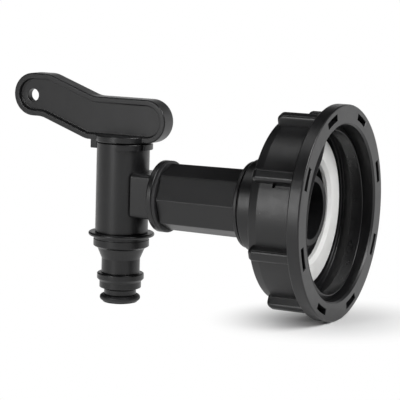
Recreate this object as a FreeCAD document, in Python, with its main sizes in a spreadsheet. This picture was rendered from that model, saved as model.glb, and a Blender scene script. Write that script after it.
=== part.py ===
import FreeCAD, Part
import os
import Sketcher
from FreeCAD import Placement, Rotation, Vector
from math import sqrt

# Quarter-turn tap for a tank with an S60 x 6 outlet: coupling nut, extension, plug tap, hose tail.
# Millimetres, +Z up. The origin is the centre of the nut's mouth and +X points into the tank.
doc = FreeCAD.newDocument("tank_tap")

# ---------------------------------------------------------------- driving dimensions
sizes = [
    # coupling nut
    ("thread_bore", 30.5, "radius at the root of the nut's S60 x 6 thread"),
    ("thread_depth", 11.85, "mouth of the nut to the face of the gasket"),
    ("nut_skin", 2.0, "wall of the nut outside the thread root"),
    ("nut_wall", 2.5, "rear wall of the nut"),
    ("flange_step", 4.85, "height of the nut's flange over its skin"),
    ("flange_thick", 4.45, "thickness of the nut's flange"),
    ("rim_round", 0.5, "rounding of the nut's flange and rear edge"),
    ("rear_taper", 3.3, "length of the nut's tapered rear end"),
    ("taper_step", 0.6, "how far that end draws in"),
    ("rib_count", 8, "grip ribs round the nut"),
    ("rib_height", 3.6, "height of a rib over the skin"),
    ("rib_width", 4.2, "width of a rib"),
    ("rib_setback", 1.1, "rear end of a rib to the rear of the nut"),
    ("rib_nose", 2.0, "radius of a rib's rear end"),
    ("rib_round", 1.2, "rounding along a rib"),
    ("rib_phase", 19.4, "degrees from straight up to the first rib"),
    ("pocket_lift", 0.6, "skin to the inner wall of a flange pocket"),
    ("pocket_height", 2.4, "radial height of a flange pocket"),
    ("pocket_angle", 13.6, "degrees that a flange pocket covers"),
    ("pocket_depth", 2.9, "depth of a flange pocket"),
    ("slot_length", 8.4, "length of the slot beside one rib"),
    ("slot_angle", 3.5, "degrees that the slot covers"),
    ("slot_phase", 4.1, "degrees from the rib to the middle of the slot"),
    ("slot_depth", 1.2, "depth of the slot"),
    ("nut_clearance", 0.25, "radial clearance of the nut on the hub's drum"),
    ("seat_clearance", 1.0, "radial clearance of the nut round the hub's flange"),
    ("thread_runout", 1.0, "end of the thread to the face of the gasket"),
    ("end_float", 0.2, "gap between the nut's rear wall and the hub's flange"),
    # gasket and hub
    ("gasket_bore", 18.3, "bore radius of the gasket"),
    ("gasket_width", 8.1, "radial width of the gasket"),
    ("gasket_thick", 2.5, "thickness of the gasket"),
    ("gasket_bevel", 1.2, "bevel round the gasket's bore"),
    ("seat_rim", 1.1, "flange of the hub outside the gasket"),
    ("seat_thick", 3.8, "thickness of the hub's flange"),
    ("drum_radius", 16.25, "outer radius of the hub"),
    ("drum_length", 14.2, "length of the hub behind its flange"),
    ("hub_wall", 1.85, "wall of the hub round the cored ring"),
    ("hub_thread", 8.5, "length of the thread that holds the extension"),
    ("recess_depth", 2.0, "depth of the recess inside the gasket"),
    # extension
    ("tube_bore", 9.9, "bore radius of the extension"),
    ("tube_wall", 2.2, "wall of the extension's round end"),
    ("tube_proud", 0.9, "how far the round end passes the gasket"),
    ("thread_clearance", 0.05, "radial clearance of a screwed joint"),
    ("shoulder_radius", 15.3, "radius of the extension's shoulder"),
    ("shoulder_width", 1.4, "width of the extension's shoulder"),
    ("shoulder_round", 0.4, "rounding of the shoulder and the hub"),
    ("joint_washer_thick", 0.7, "thickness of the washer behind the shoulder"),
    ("joint_washer_width", 2.75, "radial width of that washer"),
    ("pipe_length", 31.5, "length of the eight-sided pipe"),
    ("pipe_flat_tank", 11.38, "axis to a flat at the tank end"),
    ("pipe_flat_tap", 11.15, "axis to a flat at the tap end"),
    ("socket_depth", 13.0, "depth of the socket for the tap's tail"),
    # tap body
    ("tail_thread", 8.3, "radius of the tap's threaded tail, 3/8 inch pipe"),
    ("tail_length", 11.8, "length of the tap's tail"),
    ("disc_radius", 12.9, "radius of the tap's disc and its washer"),
    ("disc_thick", 2.3, "thickness of the disc"),
    ("disc_round", 0.6, "rounding of the disc's rim"),
    ("tail_washer_thick", 1.34, "thickness of the washer against the disc"),
    ("boss_reach", 16.27, "plug axis to the rear of the disc"),
    ("boss_width", 16.0, "width and height of the square boss"),
    ("flow_bore", 4.2, "bore radius of the tail"),
    ("barrel_radius", 9.6, "outer radius of the barrel"),
    ("barrel_rise", 18.2, "flow axis up to the top of the barrel"),
    ("barrel_drop", 14.5, "flow axis down to the foot of the barrel"),
    ("web_thick", 5.2, "thickness of the barrel's top web"),
    ("stop_height", 2.25, "height of the stops round the barrel's top"),
    ("stop_step", 1.3, "height of the stops over the barrel"),
    ("front_stop_angle", 46.0, "degrees that the stop for shut covers"),
    ("side_stop_angle", 38.0, "degrees that the block over the tail covers"),
    ("rear_stop_angle", 40.0, "degrees that the stop for open covers"),
    ("stop_margin", 1.0, "degrees left between the lug and a stop"),
    ("travel", 90.0, "degrees from open to shut"),
    # plug and its seals
    ("plug_radius", 7.45, "radius of the plug"),
    ("plug_clearance", 0.05, "radial clearance of the plug in the barrel"),
    ("plug_drop", 9.3, "flow axis down to the foot of the plug"),
    ("plug_float", 0.2, "play of the plug under the web"),
    ("plug_bore", 4.4, "bore radius of the plug"),
    ("plug_bore_rise", 5.0, "flow axis up to the end of the plug's bore"),
    ("port_radius", 3.8, "radius of the plug's side port"),
    ("neck_radius", 4.95, "radius of the plug's neck"),
    ("ring_section", 0.9, "section radius of a plug O-ring"),
    ("upper_ring_rise", 9.9, "flow axis up to the upper O-ring"),
    ("lower_ring_drop", 7.1, "flow axis down to the lower O-ring"),
    ("groove_play", 0.1, "play of an O-ring along its groove"),
    ("seat_bore", 4.0, "bore radius of the inlet seat"),
    ("seat_wall", 1.55, "wall of the inlet seat"),
    ("seat_end", 10.45, "plug axis to the outer end of the inlet seat"),
    ("seat_play", 0.05, "radial clearance of the inlet seat"),
    # lever
    ("lever_thick", 7.0, "thickness of the lever"),
    ("lever_half", 7.85, "half the height of the lever's blade"),
    ("lever_tip_reach", 36.7, "plug axis to the centre of the lever's tip"),
    ("lever_tip_rise", 33.4, "flow axis up to the centre of the lever's tip"),
    ("lever_head_reach", 10.5, "plug axis to the centre of the lever's head"),
    ("lever_head_rise", 26.45, "flow axis up to the centre of the lever's head"),
    ("bend_far", 31.5, "plug axis to the bend near the tip"),
    ("bend_near", 12.5, "plug axis to the bend near the hub"),
    ("bend_round", 9.0, "radius of the lever's bends"),
    ("lever_round", 0.5, "rounding of the blade's outline"),
    ("panel_margin", 2.05, "rim round the sunk panel"),
    ("panel_depth", 1.9, "depth of the sunk panel on each side"),
    ("eye_radius", 2.3, "radius of the eye in the tip"),
    ("eye_reach", 37.6, "plug axis to the eye"),
    ("eye_rise", 33.0, "flow axis up to the eye"),
    ("lever_disc_radius", 10.0, "radius of the disc under the lever"),
    ("lever_disc_top", 20.8, "flow axis up to the top of that disc"),
    ("lever_float", 0.25, "gap between the lever's disc and the barrel"),
    ("lug_thick", 2.8, "thickness of the lever's stop lug"),
    ("lug_width", 4.0, "width of the lever's stop lug"),
    ("lug_drop", 2.8, "how far the lug hangs below the barrel's top"),
    ("lug_gap", 0.3, "gap between the lug and the barrel"),
    ("drive_width", 5.5, "side of the lever's square drive"),
    ("drive_length", 9.3, "length of the square drive"),
    ("drive_clearance", 0.05, "clearance of the square drive per side"),
    # screw inside the plug
    ("screw_radius", 1.4, "radius of the screw's shank"),
    ("screw_length", 8.5, "length of the screw's shank"),
    ("screw_head", 2.7, "radius of the screw's head"),
    ("screw_head_thick", 1.7, "thickness of the screw's head"),
    ("screw_clearance", 0.05, "radial clearance of the screw"),
    ("pilot_reserve", 0.7, "how far the screw's hole runs past its end"),
    # hose tail
    ("nozzle_thread", 8.1, "radius of the hose tail's threaded end"),
    ("nozzle_thread_length", 3.8, "length of that end"),
    ("foot_washer_thick", 1.0, "thickness of the washer above it"),
    ("foot_washer_bore", 5.2, "bore radius of that washer"),
    ("foot_radius", 12.0, "radius of the hose tail's flange"),
    ("foot_thick", 1.35, "thickness of the flange"),
    ("foot_round", 0.6, "rounding of the flange's rim"),
    ("collar_radius", 10.15, "radius of the collar under the flange"),
    ("collar_length", 4.55, "length of the collar"),
    ("collar_chamfer", 0.9, "height of the chamfer under the collar"),
    ("cone_radius", 8.6, "radius at the top of the cone"),
    ("cone_length", 3.8, "length of the cone"),
    ("hose_neck_radius", 7.0, "radius of the neck"),
    ("neck_length", 5.3, "length of the neck"),
    ("catch_radius", 8.55, "radius of the catch ring"),
    ("catch_thick", 2.1, "thickness of the catch ring"),
    ("catch_taper", 1.0, "length of the taper under the catch ring"),
    ("spigot_radius", 7.6, "radius of the spigot"),
    ("spigot_length", 2.3, "length of the spigot"),
    ("spigot_chamfer", 0.7, "length of the spigot's lower chamfer"),
    ("waist_radius", 5.85, "radius of the waist over the O-ring"),
    ("waist_length", 1.9, "length of the waist"),
    ("tip_ring_section", 1.15, "section radius of the tip's O-ring"),
    ("tip_ring_outer", 7.4, "outer radius of the tip's O-ring"),
    ("tip_lip_radius", 6.3, "radius of the lip under the O-ring"),
    ("tip_lip_thick", 0.5, "thickness of the lip"),
    ("nozzle_bore", 3.6, "bore radius of the hose tail"),
]
sheet = doc.addObject("Spreadsheet::Sheet", "dims")
for row, (alias, size, meaning) in enumerate(sizes, start=1):
    sheet.set("A%d" % row, meaning)
    sheet.set("B%d" % row, str(size))
    sheet.setAlias("B%d" % row, alias)
doc.recompute()


def measure(expression):
    return float(sheet.evalExpression(expression))


# ---------------------------------------------------------------- places along the two axes
# Stations on the flow axis, from the mouth of the nut (0) towards the tap (negative).
gasket_front = "-dims.thread_depth"
thread_end = "(%s + dims.thread_runout)" % gasket_front
seat_front = "(%s - dims.gasket_thick)" % gasket_front
seat_back = "(%s - dims.seat_thick)" % seat_front
nut_inner = "(%s - dims.end_float)" % seat_back
nut_rear = "(%s - dims.nut_wall)" % nut_inner
drum_back = "(%s - dims.drum_length)" % seat_back
shoulder_front = "(%s - dims.joint_washer_thick)" % drum_back
shoulder_back = "(%s - dims.shoulder_width)" % shoulder_front
pipe_end = "(%s - dims.pipe_length)" % shoulder_back
disc_front = "(%s - dims.tail_washer_thick)" % pipe_end
plug_axis = "(%s - dims.disc_thick - dims.boss_reach)" % disc_front

# Radii of the tank connection.
skin_radius = "(dims.thread_bore + dims.nut_skin)"
flange_radius = "(%s + dims.flange_step)" % skin_radius
rib_radius = "(%s + dims.rib_height)" % skin_radius
gasket_radius = "(dims.gasket_bore + dims.gasket_width)"
seat_radius = "(%s + dims.seat_rim)" % gasket_radius
tube_radius = "(dims.tube_bore + dims.tube_wall)"
hub_bore = "(%s + dims.thread_clearance)" % tube_radius

# Heights on the plug axis, from the flow axis (0).
web_under = "(dims.barrel_rise - dims.web_thick)"
plug_shoulder = "(%s - dims.plug_float)" % web_under
lever_under = "(dims.barrel_rise + dims.lever_float)"
drive_foot = "(%s - dims.drive_length)" % lever_under
nozzle_top = "(dims.nozzle_thread_length - dims.barrel_drop)"
washer_top = "(%s + dims.foot_washer_thick)" % nozzle_top
barrel_bore = "(dims.plug_radius + dims.plug_clearance)"
thread_hole = "(dims.nozzle_thread + dims.thread_clearance)"
stop_radius = "(dims.barrel_radius + dims.stop_step)"
ring_centre = "(dims.plug_radius - dims.ring_section)"
foot_under = "(-dims.barrel_drop - dims.foot_thick)"
collar_under = "(%s - dims.collar_length)" % foot_under
cone_under = "(%s - dims.cone_length)" % collar_under
neck_under = "(%s - dims.neck_length)" % cone_under
catch_under = "(%s - dims.catch_thick)" % neck_under
taper_under = "(%s - dims.catch_taper)" % catch_under
spigot_under = "(%s - dims.spigot_length)" % taper_under
chamfer_under = "(%s - dims.spigot_chamfer)" % spigot_under
waist_under = "(%s - dims.waist_length)" % chamfer_under
ring_groove = "(2 * dims.tip_ring_section)"
lip_top = "(%s - %s)" % (waist_under, ring_groove)
nozzle_tip = "(%s - dims.tip_lip_thick)" % lip_top
tip_groove_floor = "(dims.tip_ring_outer - %s)" % ring_groove

pipe_sides = 8


# ---------------------------------------------------------------- modelling helpers
def zero_or(expression):
    """The expression, or a plain 0 where it is one, because a sketch holds zero another way."""
    return "0" if abs(measure(expression)) < 1e-6 else expression


def new_body(label, on_plug_axis=False):
    body = doc.addObject("PartDesign::Body", label)
    body.Label = label
    if on_plug_axis:
        body.setExpression("Placement.Base.x", plug_axis)
    return body


def origin_feature(body, role):
    return next(item for item in body.Origin.OriginFeatures if item.Role == role)


def new_sketch(body, name, role, lift="0", turn=None, about=Vector(0, 1, 0)):
    """A sketch on one of the body's own planes, lifted along its normal or turned about its own axis."""
    sketch = body.newObject("Sketcher::SketchObject", name)
    sketch.AttachmentSupport = [(origin_feature(body, role), "")]
    sketch.MapMode = "FlatFace"
    if turn is not None:
        sketch.AttachmentOffset = Placement(Vector(), Rotation(about, measure(turn)))
        sketch.setExpression("AttachmentOffset.Rotation.Angle", turn)
    if lift != "0":
        sketch.setExpression("AttachmentOffset.Base.z", lift)
    return sketch


def pin_point(sketch, geometry, point, across, up):
    """Hold one sketch point at two sizes worked out from the sheet."""
    if across == "0":
        sketch.addConstraint(Sketcher.Constraint("PointOnObject", geometry, point, -2))
    else:
        place = Sketcher.Constraint("DistanceX", -1, 1, geometry, point, measure(across))
        sketch.setExpression("Constraints[%d]" % sketch.addConstraint(place), across)
    if up == "0":
        sketch.addConstraint(Sketcher.Constraint("PointOnObject", geometry, point, -1))
    else:
        place = Sketcher.Constraint("DistanceY", -1, 1, geometry, point, measure(up))
        sketch.setExpression("Constraints[%d]" % sketch.addConstraint(place), up)


def draw_outline(sketch, corners):
    """Close an outline through corners. A corner with a third entry ends an arc that starts at the
    corner before it: the entry gives x of the arc's centre and whether the arc runs left or right."""
    spots = [Vector(measure(corner[0]), measure(corner[1]), 0) for corner in corners]
    arcs = []
    for index, corner in enumerate(corners):
        start = spots[index - 1]
        end = spots[index]
        if len(corner) == 2:
            sketch.addGeometry(Part.LineSegment(start, end), False)
            continue
        centre_x, side = corner[2]
        middle = (start + end) * 0.5
        chord = end - start
        across = Vector(-chord.y, chord.x, 0)
        centre = middle + across * ((measure(centre_x) - middle.x) / across.x)
        radius = (start - centre).Length
        bulge = middle - centre
        if bulge.Length < 0.01:
            bulge = Vector(side, 0, 0)
        through = centre + bulge.normalize() * radius
        sketch.addGeometry(Part.Arc(start, through, end), False)
        arcs.append((index, centre_x, start))
    starts = {}
    ends = {}
    for index, edge in enumerate(sketch.Geometry):
        flipped = (edge.StartPoint - spots[index - 1]).Length > 0.001
        starts[index] = 2 if flipped else 1
        ends[index] = 1 if flipped else 2
    count = len(corners)
    for index in range(count):
        after = (index + 1) % count
        link = Sketcher.Constraint("Coincident", index, ends[index], after, starts[after])
        sketch.addConstraint(link)
    for index, corner in enumerate(corners):
        pin_point(sketch, index, ends[index], corner[0], corner[1])
    for index, centre_x, start in arcs:
        place = Sketcher.Constraint("DistanceX", -1, 1, index, 3, measure(centre_x))
        sketch.setExpression("Constraints[%d]" % sketch.addConstraint(place), centre_x)
    return sketch


def draw_circle(sketch, across, up, radius):
    circle = Part.Circle(Vector(measure(across), measure(up), 0), Vector(0, 0, 1), measure(radius))
    index = sketch.addGeometry(circle, False)
    pin_point(sketch, index, 3, across, up)
    size = sketch.addConstraint(Sketcher.Constraint("Radius", index, measure(radius)))
    sketch.setExpression("Constraints[%d]" % size, radius)
    return sketch


def rectangle(left, right, low, high):
    return [(left, low), (right, low), (right, high), (left, high)]


def finish(body, feature, removes=False):
    """Recompute, and stop if a feature failed or changed nothing in the way it should."""
    before = body.Shape.Volume if body.Tip and not body.Shape.isNull() else 0.0
    doc.recompute()
    if "Invalid" in feature.State or "Error" in feature.State:
        raise RuntimeError("%s failed" % feature.Name)
    body.Tip = feature
    doc.recompute()
    change = body.Shape.Volume - before
    if removes == (change > 0) or abs(change) < 1e-6:
        raise RuntimeError("%s changed the volume by %.4f" % (feature.Name, change))
    return feature


def revolve(body, name, sketch, axis, angle=None, cut=False):
    kind = "PartDesign::Groove" if cut else "PartDesign::Revolution"
    feature = body.newObject(kind, name)
    feature.Profile = sketch
    feature.ReferenceAxis = (sketch, [axis])
    if angle is None:
        feature.Angle = 360.0
    else:
        feature.Midplane = True
        feature.setExpression("Angle", angle)
    return finish(body, feature, removes=cut)


def extrude(body, name, sketch, length, cut=False, reverse=False, both_ways=False):
    feature = body.newObject("PartDesign::Pocket" if cut else "PartDesign::Pad", name)
    feature.Profile = sketch
    feature.setExpression("Length", length)
    feature.Reversed = reverse
    if both_ways:
        feature.SideType = "Symmetric"
    return finish(body, feature, removes=cut)


def repeat_round(body, name, originals, count):
    pattern = body.newObject("PartDesign::PolarPattern", name)
    pattern.Originals = originals
    pattern.Axis = (origin_feature(body, "X_Axis"), [""])
    pattern.Angle = 360.0
    pattern.setExpression("Occurrences", count)
    body.Tip = pattern
    doc.recompute()
    return pattern


def round_edges(body, name, size, wanted):
    """Fillet the edges of the body's present shape that pass the test."""
    base = body.Tip
    picked = []
    for index, edge in enumerate(base.Shape.Edges, start=1):
        if wanted(edge):
            picked.append("Edge%d" % index)
    feature = body.newObject("PartDesign::Fillet", name)
    feature.Base = (base, picked)
    feature.setExpression("Radius", size)
    body.Tip = feature
    doc.recompute()
    return feature


def ring_edge(edge, radius, place, axis):
    """True for a whole circle of that radius round the axis, at that place along it."""
    if not isinstance(edge.Curve, Part.Circle) or not edge.isClosed():
        return False
    centre = edge.Curve.Center
    along = centre.x if axis == "x" else centre.z
    return abs(edge.Curve.Radius - measure(radius)) < 0.001 and abs(along - measure(place)) < 0.001


def plain_ring(label, bore, radius, low, high, about="z"):
    """A flat washer as a tube, standing on the plug axis or lying on the flow axis."""
    outer = doc.addObject("Part::Cylinder", label + "_outer")
    inner = doc.addObject("Part::Cylinder", label + "_inner")
    for cylinder, size in ((outer, radius), (inner, bore)):
        cylinder.setExpression("Radius", size)
        cylinder.setExpression("Height", "%s - %s" % (high, low))
    ring = doc.addObject("Part::Cut", label)
    ring.Label = label
    ring.Base = outer
    ring.Tool = inner
    if about == "x":
        ring.Placement = Placement(Vector(), Rotation(Vector(0, 1, 0), 90))
        ring.setExpression("Placement.Base.x", low)
    else:
        ring.setExpression("Placement.Base.x", plug_axis)
        ring.setExpression("Placement.Base.z", low)
    return ring


def round_ring(label, centre_radius, section, height):
    """An O-ring on the plug axis."""
    ring = doc.addObject("Part::Torus", label)
    ring.Label = label
    ring.setExpression("Radius1", centre_radius)
    ring.setExpression("Radius2", section)
    ring.setExpression("Placement.Base.x", plug_axis)
    ring.setExpression("Placement.Base.z", height)
    return ring


# ---------------------------------------------------------------- tank connection
def make_coupling_nut():
    body = new_body("coupling_nut")
    rib_turn = Rotation(Vector(1, 0, 0), measure("dims.rib_phase"))
    body.Placement = Placement(Vector(), rib_turn)
    body.setExpression("Placement.Rotation.Angle", "dims.rib_phase")
    hole = "(dims.drum_radius + dims.nut_clearance)"
    rear_radius = "(%s - dims.taper_step)" % skin_radius
    shell = new_sketch(body, "nut_shell", "XZ_Plane")
    draw_outline(shell, [
        ("0", "dims.thread_bore"),
        ("0", flange_radius),
        ("-dims.flange_thick", flange_radius),
        ("-dims.flange_thick", skin_radius),
        ("%s + dims.rear_taper" % nut_rear, skin_radius),
        (nut_rear, rear_radius),
        (nut_rear, hole),
        (nut_inner, hole),
        (nut_inner, "%s + dims.seat_clearance" % seat_radius),
        (thread_end, "%s + dims.seat_clearance" % seat_radius),
        (thread_end, "dims.thread_bore"),
    ])
    revolve(body, "nut_turned", shell, "H_Axis")
    rib_foot = "(%s - dims.nut_skin / 2)" % skin_radius
    rib_back = "(%s + dims.rib_setback)" % nut_rear
    nose_x = "(%s + dims.rib_nose)" % rib_back
    rib = new_sketch(body, "rib_side", "XZ_Plane")
    draw_outline(rib, [
        (rib_back, rib_foot),
        ("-dims.flange_thick", rib_foot),
        ("-dims.flange_thick", rib_radius),
        (nose_x, rib_radius),
        (rib_back, "%s - dims.rib_nose" % rib_radius, (nose_x, -1)),
    ])
    pad = extrude(body, "rib", rib, "dims.rib_width", both_ways=True)
    ribs = repeat_round(body, "ribs", [pad], "dims.rib_count")
    top = measure(rib_radius)
    foot = measure(skin_radius)
    back = measure(nut_rear)
    front = -measure("dims.flange_thick")

    def along_rib(edge):
        spot = edge.BoundBox.Center
        reach = sqrt(spot.y ** 2 + spot.z ** 2)
        inside = back - 0.01 < edge.BoundBox.XMin and edge.BoundBox.XMax < front + 0.01
        lengthwise = edge.BoundBox.XLength > 1.0
        return inside and lengthwise and reach > (foot + top) / 2

    round_edges(body, "rib_rounding", "dims.rib_round", along_rib)
    pocket_low = "(%s + dims.pocket_lift)" % skin_radius
    pocket = new_sketch(body, "pocket_side", "XZ_Plane")
    draw_outline(pocket, rectangle(
        "-dims.pocket_depth", "0", pocket_low, "%s + dims.pocket_height" % pocket_low))
    cut = revolve(body, "pocket", pocket, "H_Axis", angle="dims.pocket_angle", cut=True)
    repeat_round(body, "pockets", [cut], "dims.rib_count")
    beside_rib = "360 / dims.rib_count + dims.slot_phase"
    slot = new_sketch(body, "slot_side", "XZ_Plane", turn=beside_rib, about=Vector(1, 0, 0))
    draw_outline(slot, rectangle(
        "-dims.flange_thick - dims.slot_length", "-dims.flange_thick",
        "%s - dims.slot_depth" % skin_radius, "%s + dims.rib_height" % skin_radius))
    revolve(body, "slot", slot, "H_Axis", angle="dims.slot_angle", cut=True)
    round_edges(body, "rim_rounding", "dims.rim_round", lambda edge: (
        ring_edge(edge, flange_radius, "0", "x")
        or ring_edge(edge, flange_radius, "-dims.flange_thick", "x")
        or ring_edge(edge, rear_radius, nut_rear, "x")))
    return body


def make_gasket():
    body = new_body("tank_gasket")
    section = new_sketch(body, "gasket_section", "XZ_Plane")
    draw_outline(section, [
        (gasket_front, gasket_radius),
        (seat_front, gasket_radius),
        (seat_front, "dims.gasket_bore"),
        ("%s - dims.gasket_bevel" % gasket_front, "dims.gasket_bore"),
        (gasket_front, "dims.gasket_bore + dims.gasket_bevel"),
    ])
    revolve(body, "gasket_ring", section, "H_Axis")
    return body


def make_flange_hub():
    body = new_body("flange_hub")
    hub_thread_end = "%s + dims.hub_thread" % drum_back
    core_radius = "dims.drum_radius - dims.hub_wall"
    recess_floor = "%s - dims.recess_depth" % seat_front
    section = new_sketch(body, "hub_section", "XZ_Plane")
    draw_outline(section, [
        (seat_front, seat_radius),
        (seat_back, seat_radius),
        (seat_back, "dims.drum_radius"),
        (drum_back, "dims.drum_radius"),
        (drum_back, hub_bore),
        (hub_thread_end, hub_bore),
        (hub_thread_end, core_radius),
        (recess_floor, core_radius),
        (recess_floor, "dims.gasket_bore"),
        (seat_front, "dims.gasket_bore"),
    ])
    revolve(body, "hub_turned", section, "H_Axis")
    round_edges(body, "hub_rounding", "dims.shoulder_round", lambda edge: (
        ring_edge(edge, "dims.drum_radius", drum_back, "x")))
    return body


def make_extension_pipe():
    body = new_body("extension_pipe")
    tube_end = "(%s + dims.tube_proud)" % gasket_front
    round_part = new_sketch(body, "round_end", "XZ_Plane")
    draw_outline(round_part, [
        (tube_end, "0"),
        (tube_end, tube_radius),
        (shoulder_front, tube_radius),
        (shoulder_front, "dims.shoulder_radius"),
        (shoulder_back, "dims.shoulder_radius"),
        (shoulder_back, "0"),
    ])
    revolve(body, "round_end_turned", round_part, "H_Axis")
    round_edges(body, "shoulder_rounding", "dims.shoulder_round", lambda edge: (
        ring_edge(edge, "dims.shoulder_radius", shoulder_back, "x")))
    ends = []
    for name, station, flat in (("tank_end", shoulder_back, "dims.pipe_flat_tank"),
                                ("tap_end", pipe_end, "dims.pipe_flat_tap")):
        octagon = new_sketch(body, "octagon_" + name, "YZ_Plane", lift=station)
        corner = "%s / cos(180 deg / %d)" % (flat, pipe_sides)
        spots = []
        for index in range(pipe_sides):
            angle = "%d deg * %d / %d" % (360, index, pipe_sides)
            across = "%s * cos(%s)" % (corner, angle)
            up = "%s * sin(%s)" % (corner, angle)
            spots.append((zero_or(across), zero_or(up)))
        ends.append(draw_outline(octagon, spots))
    loft = body.newObject("PartDesign::AdditiveLoft", "eight_sided_pipe")
    loft.Profile = ends[0]
    loft.Sections = [ends[1]]
    loft.Ruled = True
    finish(body, loft)
    socket_floor = "(%s + dims.socket_depth)" % pipe_end
    socket_radius = "dims.tail_thread + dims.thread_clearance"
    bore = new_sketch(body, "pipe_bore", "XZ_Plane")
    draw_outline(bore, [
        (tube_end, "0"),
        (tube_end, "dims.tube_bore"),
        (socket_floor, "dims.tube_bore"),
        (socket_floor, socket_radius),
        (pipe_end, socket_radius),
        (pipe_end, "0"),
    ])
    revolve(body, "pipe_bored", bore, "H_Axis", cut=True)
    return body


# ---------------------------------------------------------------- tap body
def make_tap_body():
    body = new_body("tap_body", on_plug_axis=True)
    barrel = new_sketch(body, "barrel_section", "XZ_Plane")
    draw_outline(barrel, rectangle("0", "dims.barrel_radius", "-dims.barrel_drop", "dims.barrel_rise"))
    revolve(body, "barrel", barrel, "V_Axis")
    half_boss = "dims.boss_width / 2"
    boss = new_sketch(body, "boss_face", "YZ_Plane")
    draw_outline(boss, rectangle("-" + half_boss, half_boss, "-" + half_boss, half_boss))
    extrude(body, "square_boss", boss, "dims.boss_reach")
    disc_rear = "dims.boss_reach"
    disc_face = "(dims.boss_reach + dims.disc_thick)"
    tail_end = "%s + dims.tail_length" % disc_face
    tail = new_sketch(body, "tail_section", "XZ_Plane")
    draw_outline(tail, [
        (disc_rear, "0"),
        (disc_rear, "dims.disc_radius"),
        (disc_face, "dims.disc_radius"),
        (disc_face, "dims.tail_thread"),
        (tail_end, "dims.tail_thread"),
        (tail_end, "0"),
    ])
    revolve(body, "disc_and_tail", tail, "H_Axis")
    round_edges(body, "disc_rounding", "dims.disc_round", lambda edge: (
        ring_edge(edge, "dims.disc_radius", disc_rear, "x")
        or ring_edge(edge, "dims.disc_radius", disc_face, "x")))
    # The lug points away from the tank when the tap is open, and its sides meet the stops.
    lug_half = "atan(dims.lug_width / 2 / (dims.barrel_radius + dims.lug_gap))"
    shut = "180 deg + dims.travel * 1 deg + %s" % lug_half
    opened = "180 deg - %s" % lug_half
    stops = [
        ("front_stop", "%s + (dims.stop_margin + dims.front_stop_angle / 2) * 1 deg" % shut,
         "dims.front_stop_angle"),
        ("side_stop", "0 deg", "dims.side_stop_angle"),
        ("rear_stop", "%s - (dims.stop_margin + dims.rear_stop_angle / 2) * 1 deg" % opened,
         "dims.rear_stop_angle"),
    ]
    for name, place, angle in stops:
        stop = new_sketch(body, name + "_section", "XZ_Plane", turn=place)
        draw_outline(stop, rectangle(
            "dims.barrel_radius - dims.stop_step", stop_radius,
            "dims.barrel_rise - dims.stop_height", "dims.barrel_rise"))
        revolve(body, name, stop, "V_Axis", angle=angle)
    neck_hole = "dims.neck_radius + dims.plug_clearance"
    bore = new_sketch(body, "barrel_bore", "XZ_Plane")
    draw_outline(bore, [
        ("0", "-dims.barrel_drop"),
        (thread_hole, "-dims.barrel_drop"),
        (thread_hole, washer_top),
        (barrel_bore, washer_top),
        (barrel_bore, web_under),
        (neck_hole, web_under),
        (neck_hole, "dims.barrel_rise"),
        ("0", "dims.barrel_rise"),
    ])
    revolve(body, "barrel_bored", bore, "V_Axis", cut=True)
    seat_hole = "dims.seat_bore + dims.seat_wall + dims.seat_play"
    inlet = new_sketch(body, "inlet_section", "XZ_Plane")
    draw_outline(inlet, [
        ("0", "0"),
        ("0", seat_hole),
        ("dims.seat_end", seat_hole),
        ("dims.seat_end", "dims.flow_bore"),
        (tail_end, "dims.flow_bore"),
        (tail_end, "0"),
    ])
    revolve(body, "inlet", inlet, "H_Axis", cut=True)
    return body


def make_inlet_seat():
    body = new_body("inlet_seat", on_plug_axis=True)
    section = new_sketch(body, "seat_section", "XZ_Plane")
    draw_outline(section, rectangle(
        "0", "dims.seat_end", "dims.seat_bore", "dims.seat_bore + dims.seat_wall"))
    revolve(body, "seat_tube", section, "H_Axis")
    hollow = draw_circle(new_sketch(body, "plug_clear", "XY_Plane"), "0", "0", barrel_bore)
    extrude(body, "seat_hollow", hollow, "2 * %s" % barrel_bore, cut=True, both_ways=True)
    return body


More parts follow.
